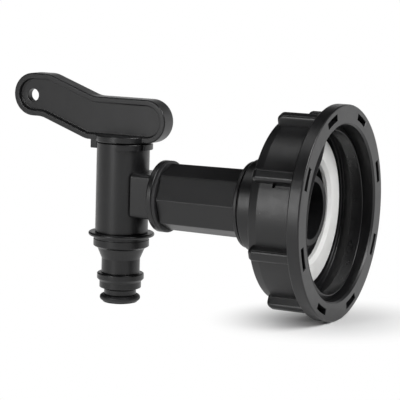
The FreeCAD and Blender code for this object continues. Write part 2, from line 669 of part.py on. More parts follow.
# ---------------------------------------------------------------- plug
def make_valve_plug():
    body = new_body("valve_plug", on_plug_axis=True)
    floor = "dims.plug_radius - 2 * dims.ring_section"
    half_groove = "(dims.ring_section + dims.groove_play)"
    turned = new_sketch(body, "plug_section", "XZ_Plane")
    draw_outline(turned, [
        ("0", "dims.plug_bore_rise"),
        ("dims.plug_bore", "dims.plug_bore_rise"),
        ("dims.plug_bore", "-dims.plug_drop"),
        ("dims.plug_radius", "-dims.plug_drop"),
        ("dims.plug_radius", "-dims.lower_ring_drop - %s" % half_groove),
        (floor, "-dims.lower_ring_drop - %s" % half_groove),
        (floor, "-dims.lower_ring_drop + %s" % half_groove),
        ("dims.plug_radius", "-dims.lower_ring_drop + %s" % half_groove),
        ("dims.plug_radius", "dims.upper_ring_rise - %s" % half_groove),
        (floor, "dims.upper_ring_rise - %s" % half_groove),
        (floor, "dims.upper_ring_rise + %s" % half_groove),
        ("dims.plug_radius", "dims.upper_ring_rise + %s" % half_groove),
        ("dims.plug_radius", plug_shoulder),
        ("dims.neck_radius", plug_shoulder),
        ("dims.neck_radius", "dims.barrel_rise"),
        ("0", "dims.barrel_rise"),
    ])
    revolve(body, "plug_turned", turned, "V_Axis")
    port = draw_circle(new_sketch(body, "port_circle", "YZ_Plane"), "0", "0", "dims.port_radius")
    extrude(body, "side_port", port, "dims.plug_radius", cut=True, reverse=True)
    half = "(dims.drive_width / 2 + dims.drive_clearance)"
    socket = new_sketch(body, "socket_square", "XY_Plane", lift=drive_foot)
    draw_outline(socket, rectangle("-" + half, half, "-" + half, half))
    extrude(body, "drive_socket", socket, "dims.barrel_rise - %s" % drive_foot, cut=True, reverse=True)
    hole = new_sketch(body, "screw_circle", "XY_Plane", lift="dims.plug_bore_rise")
    draw_circle(hole, "0", "0", "dims.screw_radius + dims.screw_clearance")
    extrude(body, "screw_hole", hole, "%s - dims.plug_bore_rise" % drive_foot, cut=True, reverse=True)
    return body


def make_plug_screw():
    body = new_body("plug_screw", on_plug_axis=True)
    head_under = "dims.plug_bore_rise - dims.screw_head_thick"
    shank_end = "dims.plug_bore_rise + dims.screw_length"
    section = new_sketch(body, "screw_section", "XZ_Plane")
    draw_outline(section, [
        ("0", head_under),
        ("dims.screw_head", head_under),
        ("dims.screw_head", "dims.plug_bore_rise"),
        ("dims.screw_radius", "dims.plug_bore_rise"),
        ("dims.screw_radius", shank_end),
        ("0", shank_end),
    ])
    revolve(body, "screw_turned", section, "V_Axis")
    return body


# ---------------------------------------------------------------- lever
def lever_outline(half):
    """The S-shaped blade: two level stretches joined by a slope, with round ends."""
    slope = "atan((dims.lever_tip_rise - dims.lever_head_rise) / (dims.bend_far - dims.bend_near))"
    shift = "%s * tan(%s / 2)" % (half, slope)
    tip_x = "-dims.lever_tip_reach"
    return [
        (tip_x, "dims.lever_tip_rise - %s" % half, (tip_x, -1)),
        ("-dims.bend_far - %s" % shift, "dims.lever_tip_rise - %s" % half),
        ("-dims.bend_near - %s" % shift, "dims.lever_head_rise - %s" % half),
        ("dims.lever_head_reach", "dims.lever_head_rise - %s" % half),
        ("dims.lever_head_reach", "dims.lever_head_rise + %s" % half, ("dims.lever_head_reach", 1)),
        ("-dims.bend_near + %s" % shift, "dims.lever_head_rise + %s" % half),
        ("-dims.bend_far + %s" % shift, "dims.lever_tip_rise + %s" % half),
        (tip_x, "dims.lever_tip_rise + %s" % half),
    ]


def bend_edge(edge):
    """True for a straight edge across the blade that isn't where a round end starts."""
    box = edge.BoundBox
    across = box.YLength > 0.001 and box.XLength < 0.001 and box.ZLength < 0.001
    tip = abs(box.XMin + measure("dims.lever_tip_reach")) < 0.001
    head = abs(box.XMin - measure("dims.lever_head_reach")) < 0.001
    return across and not tip and not head


def make_lever_handle():
    body = new_body("lever_handle", on_plug_axis=True)
    blade = draw_outline(new_sketch(body, "blade_outline", "XZ_Plane"), lever_outline("dims.lever_half"))
    extrude(body, "blade", blade, "dims.lever_thick", both_ways=True)
    round_edges(body, "blade_bends", "dims.bend_round", bend_edge)
    side = measure("dims.lever_thick") / 2

    def blade_rim(edge):
        flat = edge.BoundBox.YLength < 0.001
        return flat and abs(abs(edge.BoundBox.YMax) - side) < 0.001

    round_edges(body, "blade_rounding", "dims.lever_round", blade_rim)
    panel_half = "(dims.lever_half - dims.panel_margin)"
    panel = new_sketch(body, "panel_outline", "XZ_Plane", lift="dims.lever_thick / 2")
    sunk = extrude(body, "panel", draw_outline(panel, lever_outline(panel_half)), "dims.panel_depth", cut=True)
    both = body.newObject("PartDesign::Mirrored", "both_panels")
    both.Originals = [sunk]
    both.MirrorPlane = (origin_feature(body, "XZ_Plane"), [""])
    finish(body, both, removes=True)
    disc = new_sketch(body, "disc_section", "XZ_Plane")
    draw_outline(disc, rectangle("0", "dims.lever_disc_radius", lever_under, "dims.lever_disc_top"))
    revolve(body, "lever_disc", disc, "V_Axis")
    lug_inner = "dims.barrel_radius + dims.lug_gap"
    lug = new_sketch(body, "lug_plan", "XY_Plane", lift="dims.barrel_rise - dims.lug_drop")
    draw_outline(lug, rectangle(
        "-(%s + dims.lug_thick)" % lug_inner, "-(%s)" % lug_inner,
        "-dims.lug_width / 2", "dims.lug_width / 2"))
    extrude(body, "stop_lug", lug, "dims.lever_disc_top - dims.barrel_rise + dims.lug_drop")
    half = "dims.drive_width / 2"
    drive = new_sketch(body, "drive_square", "XY_Plane", lift=drive_foot)
    draw_outline(drive, rectangle("-" + half, half, "-" + half, half))
    extrude(body, "square_drive", drive, "dims.drive_length")
    pilot = new_sketch(body, "pilot_circle", "XY_Plane", lift=drive_foot)
    draw_circle(pilot, "0", "0", "dims.screw_radius + dims.screw_clearance")
    pilot_depth = "dims.plug_bore_rise + dims.screw_length + dims.pilot_reserve - %s" % drive_foot
    extrude(body, "screw_pilot", pilot, pilot_depth, cut=True, reverse=True)
    eye = new_sketch(body, "eye_circle", "XZ_Plane")
    draw_circle(eye, "-dims.eye_reach", "dims.eye_rise", "dims.eye_radius")
    extrude(body, "eye", eye, "dims.lever_thick", cut=True, both_ways=True)
    return body


# ---------------------------------------------------------------- hose tail
def make_hose_nozzle():
    body = new_body("hose_nozzle", on_plug_axis=True)
    section = new_sketch(body, "nozzle_section", "XZ_Plane")
    draw_outline(section, [
        ("dims.nozzle_bore", nozzle_top),
        ("dims.nozzle_thread", nozzle_top),
        ("dims.nozzle_thread", "-dims.barrel_drop"),
        ("dims.foot_radius", "-dims.barrel_drop"),
        ("dims.foot_radius", foot_under),
        ("dims.collar_radius", foot_under),
        ("dims.collar_radius", "%s + dims.collar_chamfer" % collar_under),
        ("dims.cone_radius", collar_under),
        ("dims.hose_neck_radius", cone_under),
        ("dims.hose_neck_radius", neck_under),
        ("dims.catch_radius", neck_under),
        ("dims.catch_radius", catch_under),
        ("dims.spigot_radius", taper_under),
        ("dims.spigot_radius", spigot_under),
        ("dims.waist_radius", chamfer_under),
        ("dims.waist_radius", waist_under),
        (tip_groove_floor, waist_under),
        (tip_groove_floor, lip_top),
        ("dims.tip_lip_radius", lip_top),
        ("dims.tip_lip_radius", nozzle_tip),
        ("dims.nozzle_bore", nozzle_tip),
    ])
    revolve(body, "nozzle_turned", section, "V_Axis")
    round_edges(body, "foot_rounding", "dims.foot_round", lambda edge: (
        ring_edge(edge, "dims.foot_radius", "-dims.barrel_drop", "z")
        or ring_edge(edge, "dims.foot_radius", foot_under, "z")
        or ring_edge(edge, "dims.catch_radius", neck_under, "z")))
    return body


# ---------------------------------------------------------------- build and write
parts = [
    make_coupling_nut(),
    make_gasket(),
    make_flange_hub(),
    make_extension_pipe(),
    plain_ring("joint_washer", hub_bore, "%s + dims.joint_washer_width" % hub_bore,
               shoulder_front, drum_back, about="x"),
    plain_ring("tail_washer", "dims.tail_thread + dims.thread_clearance", "dims.disc_radius",
               disc_front, pipe_end, about="x"),
    make_tap_body(),
    make_inlet_seat(),
    make_valve_plug(),
    round_ring("upper_plug_o_ring", ring_centre, "dims.ring_section", "dims.upper_ring_rise"),
    round_ring("lower_plug_o_ring", ring_centre, "dims.ring_section", "-dims.lower_ring_drop"),
    make_plug_screw(),
    make_lever_handle(),
    plain_ring("foot_washer", "dims.foot_washer_bore", "dims.nozzle_thread", nozzle_top, washer_top),
    make_hose_nozzle(),
    round_ring("nozzle_o_ring", "dims.tip_ring_outer - dims.tip_ring_section",
               "dims.tip_ring_section", "%s - dims.tip_ring_section" % waist_under),
]
doc.recompute()
for item in doc.Objects:
    if "Invalid" in item.State or "Error" in item.State:
        raise RuntimeError("%s did not build" % item.Name)
os.makedirs("parts", exist_ok=True)
for part in parts:
    shape = part.Shape
    if shape.isNull() or not shape.isValid() or len(shape.Solids) != 1:
        raise RuntimeError("%s is not one sound solid" % part.Label)
    shape.exportStep("parts/%s.step" % part.Label)
    box = shape.BoundBox
    print("%-18s %9.1f mm3  x %7.2f..%7.2f  z %7.2f..%7.2f" % (
        part.Label, shape.Volume, box.XMin, box.XMax, box.ZMin, box.ZMax))
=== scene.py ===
from math import acos, atan2, ceil, cos, degrees, hypot, pi, radians, sin, tan

import bmesh
import bpy
from mathutils import Matrix, Vector


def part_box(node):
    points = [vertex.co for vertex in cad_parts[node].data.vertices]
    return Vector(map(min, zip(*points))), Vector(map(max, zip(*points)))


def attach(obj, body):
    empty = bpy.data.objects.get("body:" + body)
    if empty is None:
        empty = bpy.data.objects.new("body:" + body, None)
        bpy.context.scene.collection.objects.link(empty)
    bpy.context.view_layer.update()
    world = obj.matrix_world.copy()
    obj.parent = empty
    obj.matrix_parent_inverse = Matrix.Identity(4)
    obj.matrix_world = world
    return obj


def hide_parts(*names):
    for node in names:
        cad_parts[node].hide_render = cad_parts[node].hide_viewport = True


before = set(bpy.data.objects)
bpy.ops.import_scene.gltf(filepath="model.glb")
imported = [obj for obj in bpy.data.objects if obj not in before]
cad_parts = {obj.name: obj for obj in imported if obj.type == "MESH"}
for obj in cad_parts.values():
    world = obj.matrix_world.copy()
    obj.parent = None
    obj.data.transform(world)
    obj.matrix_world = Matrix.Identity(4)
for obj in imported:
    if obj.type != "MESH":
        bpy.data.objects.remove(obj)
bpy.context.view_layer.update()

# Tank tap with coupling nut. Sizes are in millimetres and turned into metres where a mesh is made.
# x runs along the flow towards the tank, z is up, and the tap's plug stands upright.


def mm(value):
    return value / 1000


def nodeBox(node):  # a node's box in millimetres
    low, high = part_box(node)
    return low * 1000, high * 1000


# A corner is (along, radius, rounding), and the rounding may be left out.
def roundedProfile(corners, closed=True, stepAngle=12):
    points = []
    count = len(corners)
    for index, corner in enumerate(corners):
        spot = Vector(corner[:2])
        rounding = corner[2] if len(corner) > 2 else 0
        atEnd = not closed and index in (0, count - 1)
        if rounding == 0 or atEnd:
            points.append(spot)
            continue
        before = (Vector(corners[index - 1][:2]) - spot).normalized()
        after = (Vector(corners[(index + 1) % count][:2]) - spot).normalized()
        inside = acos(max(-1, min(1, before.dot(after))))
        centre = spot + (before + after).normalized() * rounding / sin(inside / 2)
        start = spot + before * rounding / tan(inside / 2) - centre
        turn = pi - inside
        if start.y * before.x - start.x * before.y < 0:
            turn = -turn
        steps = max(2, ceil(abs(degrees(turn)) / stepAngle))
        for step in range(steps + 1):
            angle = turn * step / steps
            points.append(centre + Vector((
                start.x * cos(angle) - start.y * sin(angle),
                start.x * sin(angle) + start.y * cos(angle))))
    return points


def evenAngles(count):
    return [2 * pi * step / count for step in range(count)]


def turnedMesh(profile, axis, centre=(0, 0), angles=None):
    # axis x: a point is (along, radius), turned from straight up towards the viewer's side (-y).
    # axis z: centre is the plug axis in x and y.
    angles = angles or evenAngles(144)
    shape = bmesh.new()
    rings = []
    for angle in angles:
        ring = []
        for along, radius in profile:
            if axis == "x":
                place = (along, centre[0] - radius * sin(angle), centre[1] + radius * cos(angle))
            else:
                place = (centre[0] + radius * cos(angle), centre[1] + radius * sin(angle), along)
            ring.append(shape.verts.new([mm(value) for value in place]))
        rings.append(ring)
    faces = {}
    for turn in range(len(angles)):
        here, there = rings[turn], rings[(turn + 1) % len(angles)]
        for step in range(len(profile)):
            after = (step + 1) % len(profile)
            quad = (here[step], here[after], there[after], there[step])
            faces[turn, step] = shape.faces.new(quad)
    return shape, faces


def cleaned(shape, gap=1e-6):
    bmesh.ops.remove_doubles(shape, verts=shape.verts, dist=gap)
    bmesh.ops.dissolve_degenerate(shape, edges=shape.edges, dist=1e-7)
    bmesh.ops.recalc_face_normals(shape, faces=shape.faces)
    return shape


def joined(*shapes):
    whole = shapes[0]
    for other in shapes[1:]:
        spare = bpy.data.meshes.new("spare")
        other.to_mesh(spare)
        other.free()
        whole.from_mesh(spare)
        bpy.data.meshes.remove(spare)
    return whole


def blockShape(low, high, rounding=0, steps=4, keep=lambda edge: True):
    shape = bmesh.new()
    bmesh.ops.create_cube(shape, size=1)
    for vert in shape.verts:
        for way in range(3):
            vert.co[way] = mm(low[way] if vert.co[way] < 0 else high[way])
    if rounding:
        edges = [edge for edge in shape.edges if keep(edge)]
        bmesh.ops.bevel(shape, geom=edges, offset=mm(rounding), segments=steps,
                        profile=0.5, affect="EDGES", clamp_overlap=True)
    return shape


def evaluatedMesh(piece):
    graph = bpy.context.evaluated_depsgraph_get()
    graph.update()
    return bpy.data.meshes.new_from_object(piece.evaluated_get(graph))


def bakeModifiers(piece):
    mesh = evaluatedMesh(piece)
    piece.modifiers.clear()
    old = piece.data
    piece.data = mesh
    bpy.data.meshes.remove(old)
    return piece


def newPiece(name, shape, finishes, sharp=32):
    mesh = bpy.data.meshes.new(name)
    cleaned(shape).to_mesh(mesh)
    shape.free()
    mesh.shade_smooth()
    mesh.set_sharp_from_angle(angle=radians(sharp))
    piece = bpy.data.objects.new(name, mesh)
    bpy.context.scene.collection.objects.link(piece)
    for finish in finishes:
        mesh.materials.append(finish)
    weighted = piece.modifiers.new("evenShading", "WEIGHTED_NORMAL")
    weighted.keep_sharp = True
    weighted.weight = 100
    return bakeModifiers(piece)


def place(piece, body, slot, *nodes):
    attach(piece, body)
    if nodes:
        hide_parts(*nodes)
    return piece


# An expression on wires adds the shader nodes that work it out.
class Wire:
    def __init__(self, sheet, socket):
        self.sheet = sheet
        self.socket = socket

    def __add__(self, other):
        return self.sheet.maths("ADD", self, other)

    def __sub__(self, other):
        return self.sheet.maths("SUBTRACT", self, other)

    def __rsub__(self, other):
        return self.sheet.maths("SUBTRACT", other, self)

    def __mul__(self, other):
        return self.sheet.maths("MULTIPLY", self, other)

    def __truediv__(self, other):
        return self.sheet.maths("DIVIDE", self, other)

    def __pow__(self, other):
        return self.sheet.maths("POWER", self, other)

    __radd__ = __add__
    __rmul__ = __mul__


class NodeSheet:
    def __init__(self, tree):
        self.tree = tree
        tree.nodes.clear()

    def feed(self, socket, value):
        if isinstance(value, Wire):
            self.tree.links.new(value.socket, socket)
        else:
            socket.default_value = value

    def add(self, kind, settings=None, sockets=None, out=0):
        node = self.tree.nodes.new(kind)
        for name, value in (settings or {}).items():
            setattr(node, name, value)
        for name, value in (sockets or {}).items():
            self.feed(node.inputs[name], value)
        return Wire(self, node.outputs[out]) if node.outputs else node

    def maths(self, operation, first, second):
        return self.add("ShaderNodeMath", {"operation": operation}, {0: first, 1: second})

    def between(self, value, low, high, lowOut=0.0, highOut=1.0):
        return self.add("ShaderNodeMapRange", {"interpolation_type": "SMOOTHSTEP"}, {
            "Value": value, "From Min": low, "From Max": high, "To Min": lowOut, "To Max": highOut})

    def blendColour(self, amount, first, second):
        node = self.tree.nodes.new("ShaderNodeMix")
        node.data_type = "RGBA"
        for socket, value in ((node.inputs[0], amount), (node.inputs[6], first), (node.inputs[7], second)):
            self.feed(socket, value)
        return Wire(self, node.outputs[2])


def newMaterial(name):
    material = bpy.data.materials.new(name)
    material.use_nodes = True
    return material, NodeSheet(material.node_tree)


def closeMaterial(sheet, **sockets):
    names = {"colour": "Base Color", "roughness": "Roughness", "metallic": "Metallic", "normal": "Normal"}
    skin = sheet.add("ShaderNodeBsdfPrincipled", None,
                     {names[name]: value for name, value in sockets.items()})
    sheet.add("ShaderNodeOutputMaterial", None, {"Surface": skin})


plasticLook = {
    "colour": (0.006, 0.006, 0.0066, 1),   # deep black polypropylene
    "paleColour": (0.011, 0.011, 0.012, 1),  # where the moulding has rubbed or flowed
    "roughness": 0.36,
    "grain": 2600,                           # spark-eroded grain, per metre
    "grainHeight": 0.000012,
    "flow": 70,                              # slow waviness of thick mouldings, per metre
    "flowHeight": 0.00009,
    "patch": 315.0,                          # patches of other sheen, per metre
    "scuff": 900.0,                          # rubbed marks, per metre
    "speck": 260.0,                          # cells that may hold a speck of dust, per metre
    "dustColour": (0.35, 0.35, 0.36, 1),
}


def plasticMaterial(name, look, roughness=None, grainHeight=None, dust=0.0, stretch=(1, 1, 1)):
    material, sheet = newMaterial(name)
    spot = sheet.add("ShaderNodeTexCoord", None, None, out="Object")
    drawn = sheet.add("ShaderNodeMapping", None, {"Vector": spot, "Scale": stretch})
    grain = sheet.add("ShaderNodeTexNoise", {"noise_dimensions": "3D"}, {
        "Vector": spot, "Scale": look["grain"], "Detail": 3.0, "Roughness": 0.6})
    flow = sheet.add("ShaderNodeTexNoise", {"noise_dimensions": "3D"}, {
        "Vector": drawn, "Scale": look["flow"], "Detail": 2.0, "Roughness": 0.5})
    patch = sheet.add("ShaderNodeTexNoise", {"noise_dimensions": "3D"}, {
        "Vector": drawn, "Scale": look["patch"], "Detail": 4.0, "Roughness": 0.65})
    scuff = sheet.add("ShaderNodeTexNoise", {"noise_dimensions": "3D"}, {
        "Vector": spot, "Scale": look["scuff"], "Detail": 5.0, "Roughness": 0.75, "Distortion": 1.2})
    rubbed = sheet.between(scuff, 0.60, 0.76) * sheet.between(patch, 0.50, 0.68)
    speck = sheet.add("ShaderNodeTexVoronoi", {"feature": "F1"}, {"Vector": spot, "Scale": look["speck"]})
    lint = sheet.between(speck, 0.0, 0.055, 1.0, 0.0) * sheet.between(patch, 0.56, 0.6) * dust
    shade = sheet.blendColour(sheet.between(patch, 0.3, 0.75) * 0.45 + rubbed * 0.5,
                              look["colour"], look["paleColour"])
    shade = sheet.blendColour(lint, shade, look["dustColour"])
    base = roughness or look["roughness"]
    dull = base + (patch - 0.5) * 0.16 + (grain - 0.5) * 0.10 + rubbed * 0.12 + lint * 0.3
    waves = sheet.add("ShaderNodeBump", None, {
        "Strength": 1.0, "Distance": look["flowHeight"], "Height": flow})
    normal = sheet.add("ShaderNodeBump", None, {
        "Strength": 1.0, "Distance": grainHeight or look["grainHeight"], "Height": grain + rubbed * 0.4,
        "Normal": waves})
    closeMaterial(sheet, colour=shade, roughness=dull, normal=normal)
    return material


sealLook = {"colour": (0.80, 0.80, 0.79, 1), "shade": (0.66, 0.66, 0.64, 1),
            "stain": (0.45, 0.45, 0.43, 1), "roughness": 0.5, "grain": 900, "grainHeight": 0.00003,
            "cloud": 90.0}


def sealMaterial(name, look):
    material, sheet = newMaterial(name)
    spot = sheet.add("ShaderNodeTexCoord", None, None, out="Object")
    grain = sheet.add("ShaderNodeTexNoise", None, {
        "Vector": spot, "Scale": look["grain"], "Detail": 4.0, "Roughness": 0.6})
    cloud = sheet.add("ShaderNodeTexNoise", None, {
        "Vector": spot, "Scale": look["cloud"], "Detail": 3.0, "Roughness": 0.55})
    shade = sheet.blendColour(sheet.between(cloud, 0.35, 0.72) * 0.5, look["colour"], look["shade"])
    shade = sheet.blendColour(sheet.between(grain, 0.70, 0.78) * 0.25, shade, look["stain"])
    dull = look["roughness"] + (grain - 0.5) * 0.2 + (cloud - 0.5) * 0.1
    normal = sheet.add("ShaderNodeBump", None, {
        "Strength": 1.0, "Distance": look["grainHeight"], "Height": grain})
    closeMaterial(sheet, colour=shade, roughness=dull, normal=normal)
    return material


rubberLook = {"colour": (0.012, 0.012, 0.013, 1), "bloom": (0.035, 0.035, 0.037, 1), "roughness": 0.55,
              "grain": 1800, "grainHeight": 0.00002, "cloud": 220.0}


def rubberMaterial(name, look):
    material, sheet = newMaterial(name)
    spot = sheet.add("ShaderNodeTexCoord", None, None, out="Object")
    grain = sheet.add("ShaderNodeTexNoise", None, {
        "Vector": spot, "Scale": look["grain"], "Detail": 4.0, "Roughness": 0.7})
    cloud = sheet.add("ShaderNodeTexNoise", None, {
        "Vector": spot, "Scale": look["cloud"], "Detail": 3.0, "Roughness": 0.6})
    shade = sheet.blendColour(sheet.between(cloud, 0.45, 0.75) * 0.6, look["colour"], look["bloom"])
    dull = look["roughness"] + (cloud - 0.5) * 0.25 + (grain - 0.5) * 0.1
    normal = sheet.add("ShaderNodeBump", None, {
        "Strength": 1.0, "Distance": look["grainHeight"], "Height": grain})
    closeMaterial(sheet, colour=shade, roughness=dull, normal=normal)
    return material


steelLook = {"colour": (0.62, 0.61, 0.60, 1), "dark": (0.40, 0.39, 0.38, 1), "roughness": 0.3,
             "brush": 1400.0, "brushStretch": (1, 1, 14), "brushHeight": 0.000008}


def steelMaterial(name, look):
    material, sheet = newMaterial(name)
    spot = sheet.add("ShaderNodeTexCoord", None, None, out="Object")
    drawn = sheet.add("ShaderNodeMapping", None, {"Vector": spot, "Scale": look["brushStretch"]})
    brush = sheet.add("ShaderNodeTexNoise", None, {
        "Vector": drawn, "Scale": look["brush"], "Detail": 4.0, "Roughness": 0.6})
    shade = sheet.blendColour(sheet.between(brush, 0.4, 0.7), look["colour"], look["dark"])
    dull = look["roughness"] + (brush - 0.5) * 0.2
    normal = sheet.add("ShaderNodeBump", None, {
        "Strength": 1.0, "Distance": look["brushHeight"], "Height": brush})
    closeMaterial(sheet, colour=shade, roughness=dull, metallic=1.0, normal=normal)
    return material


satinPlastic = plasticMaterial("satin_black_plastic", plasticLook, dust=0.5)
threadPlastic = plasticMaterial("smooth_thread_plastic", plasticLook, roughness=0.30, grainHeight=0.000006)
pipePlastic = plasticMaterial("drawn_pipe_plastic", plasticLook, roughness=0.42, stretch=(0.25, 1, 1))
whiteSeal = sealMaterial("white_seal_rubber", sealLook)
blackRubber = rubberMaterial("black_seal_rubber", rubberLook)
screwSteel = steelMaterial("screw_steel", steelLook)
print("materials ready")


# Coupling nut; its angles are in degrees, from straight up towards the viewer's side.
nutSizes = {
    "threadRoot": 30.5, "ledgeDepth": 11.85, "ledgeRadius": 28.5, "rearWall": 2.5,
    "drumHole": 16.5, "skinRadius": 32.5, "flangeThick": 4.45, "taperLength": 3.3, "taperRadius": 31.9,
    "taperRound": 2.5, "rearRound": 0.7, "mouthBevel": 0.65, "mouthRound": 0.12,
    "edgeRound": 0.5, "innerRound": 0.25, "turnSteps": 160, "stepGap": 0.7,
    "ribCount": 8, "ribPhase": 19.4, "ribRadius": 36.1, "ribWidth": 4.2, "ribSetback": 1.1,
    "ribNose": 2.0, "ribRound": 1.2, "ribSunk": 1.0, "ribInFlange": 0.2,
    "pocketInner": 33.1, "pocketOuter": 35.5, "pocketAngle": 13.6, "pocketDepth": 2.9, "pocketLip": 0.12,
    "slotLength": 8.4, "slotAngle": 3.5, "slotCentre": 68.5, "slotDepth": 1.2,
    "pitch": 6.0, "crestRadius": 28.2, "crestWidth": 2.9, "steepRun": 0.15, "slopedRun": 1.5,
    "threadStart": -10.75, "threadTurns": 1.52, "crestAtFarSide": -3.7, "crestRound": 0.22,
    "threadSunk": 0.4, "runOut": 0.05,
}


def nutAngles(sizes):
    special = []
    for rib in range(sizes["ribCount"]):
        middle = sizes["ribPhase"] + rib * 360 / sizes["ribCount"]
        special += [middle - sizes["pocketAngle"] / 2, middle + sizes["pocketAngle"] / 2]
    special += [sizes["slotCentre"] - sizes["slotAngle"] / 2, sizes["slotCentre"] + sizes["slotAngle"] / 2]
    special = [angle % 360 for angle in special]
    even = [360 * step / sizes["turnSteps"] for step in range(sizes["turnSteps"])]
    even = [angle for angle in even
            if min(abs(angle - other) for other in special) > sizes["stepGap"]]
    return sorted(radians(angle) for angle in even + special)


def nutShell(sizes, mouth, rear, flangeRadius):
    skinFront = mouth - sizes["flangeThick"]
    slotEnd = skinFront - sizes["slotLength"]
    inner = rear + sizes["rearWall"]
    ledge = mouth - sizes["ledgeDepth"]
    edge, small = sizes["edgeRound"], sizes["innerRound"]
    corners = [
        (mouth, sizes["threadRoot"] + sizes["mouthBevel"], sizes["mouthRound"]),
        (mouth, sizes["pocketInner"]),
        (mouth, sizes["pocketOuter"]),
        (mouth, flangeRadius, edge),
        (skinFront, flangeRadius, edge),
        (skinFront, sizes["skinRadius"], small),
        (slotEnd, sizes["skinRadius"]),
        (rear + sizes["taperLength"], sizes["skinRadius"], sizes["taperRound"]),
        (rear, sizes["taperRadius"], sizes["rearRound"]),
        (rear, sizes["drumHole"], small),
        (inner, sizes["drumHole"], small),
        (inner, sizes["ledgeRadius"], small),
        (ledge, sizes["ledgeRadius"], small),
        (ledge, sizes["threadRoot"], small),
        (mouth - sizes["mouthBevel"], sizes["threadRoot"], sizes["mouthRound"]),
    ]
    profile = roundedProfile(corners)
    angles = nutAngles(sizes)
    shape, faces = turnedMesh(profile, "x", angles=angles)

    def within(turn, low, high):
        start = degrees(angles[turn])
        end = degrees(angles[(turn + 1) % len(angles)])
        middle = (start + (end if end > start else end + 360)) / 2
        return any(low < middle % 360 + lap < high for lap in (0, 360, -360))

    pocketStep = next(step for step, spot in enumerate(profile)
                      if abs(spot.x - mouth) < 1e-3 and abs(spot.y - sizes["pocketInner"]) < 1e-3)
    slotStep = next(step for step, spot in enumerate(profile)
                    if abs(spot.x - slotEnd) < 1e-3 and abs(spot.y - sizes["skinRadius"]) < 1e-3) - 1
    hollows = []
    for rib in range(sizes["ribCount"]):
        middle = (sizes["ribPhase"] + rib * 360 / sizes["ribCount"]) % 360
        half = sizes["pocketAngle"] / 2
        hollows.append(([faces[turn, pocketStep] for turn in range(len(angles))
                         if within(turn, middle - half, middle + half)], sizes["pocketDepth"], None))
    half = sizes["slotAngle"] / 2
    hollows.append(([faces[turn, slotStep] for turn in range(len(angles))
                     if within(turn, sizes["slotCentre"] - half, sizes["slotCentre"] + half)],
                    None, sizes["slotDepth"]))
    for patch, depth, sink in hollows:
        lip = mm(sizes["pocketLip"])
        bmesh.ops.inset_region(shape, faces=patch, thickness=lip, depth=-lip, use_even_offset=True)
        grown = bmesh.ops.extrude_face_region(shape, geom=patch)
        verts = [item for item in grown["geom"] if isinstance(item, bmesh.types.BMVert)]
        for vert in verts:
            if depth:
                vert.co.x -= mm(depth)
            else:
                reach = hypot(vert.co.y, vert.co.z)
                vert.co.y *= 1 - mm(sink) / reach
                vert.co.z *= 1 - mm(sink) / reach
        bmesh.ops.delete(shape, geom=[face for face in patch if face.is_valid], context="FACES")
    return shape


def treeInput(tree, name, kind, value):
    socket = tree.interface.new_socket(name=name, in_out="INPUT", socket_type=kind)
    socket.default_value = value


def newTree(name):
    tree = bpy.data.node_groups.new(name, "GeometryNodeTree")
    tree.interface.new_socket(name="Geometry", in_out="INPUT", socket_type="NodeSocketGeometry")
    tree.interface.new_socket(name="Geometry", in_out="OUTPUT", socket_type="NodeSocketGeometry")
    return tree


def linkTree(tree, pairs):
    for source, target in pairs:
        tree.links.new(source, target)


def ringTree(finish):
    # Copies of the modifier's own mesh, turned round the x axis.
    tree = newTree("copies_round_axis")
    treeInput(tree, "Count", "NodeSocketInt", 8)
    treeInput(tree, "Phase", "NodeSocketFloat", 0.0)
    nodes = tree.nodes
    start, end = nodes.new("NodeGroupInput"), nodes.new("NodeGroupOutput")
    points = nodes.new("GeometryNodePoints")
    index = nodes.new("GeometryNodeInputIndex")
    share = nodes.new("ShaderNodeMath")
    share.operation = "DIVIDE"
    angle = nodes.new("ShaderNodeMath")
    angle.operation = "MULTIPLY_ADD"
    angle.inputs[1].default_value = 2 * pi
    turn = nodes.new("ShaderNodeCombineXYZ")
    copies = nodes.new("GeometryNodeInstanceOnPoints")
    real = nodes.new("GeometryNodeRealizeInstances")
    paint = nodes.new("GeometryNodeSetMaterial")
    paint.inputs["Material"].default_value = finish
    linkTree(tree, [
        (start.outputs["Count"], points.inputs["Count"]),
        (index.outputs[0], share.inputs[0]),
        (start.outputs["Count"], share.inputs[1]),
        (share.outputs[0], angle.inputs[0]),
        (start.outputs["Phase"], angle.inputs[2]),
        (angle.outputs[0], turn.inputs["X"]),
        (points.outputs[0], copies.inputs["Points"]),
        (start.outputs["Geometry"], copies.inputs["Instance"]),
        (turn.outputs[0], copies.inputs["Rotation"]),
        (copies.outputs[0], real.inputs[0]),
        (real.outputs[0], paint.inputs[0]),
        (paint.outputs[0], end.inputs[0]),
    ])
    return tree


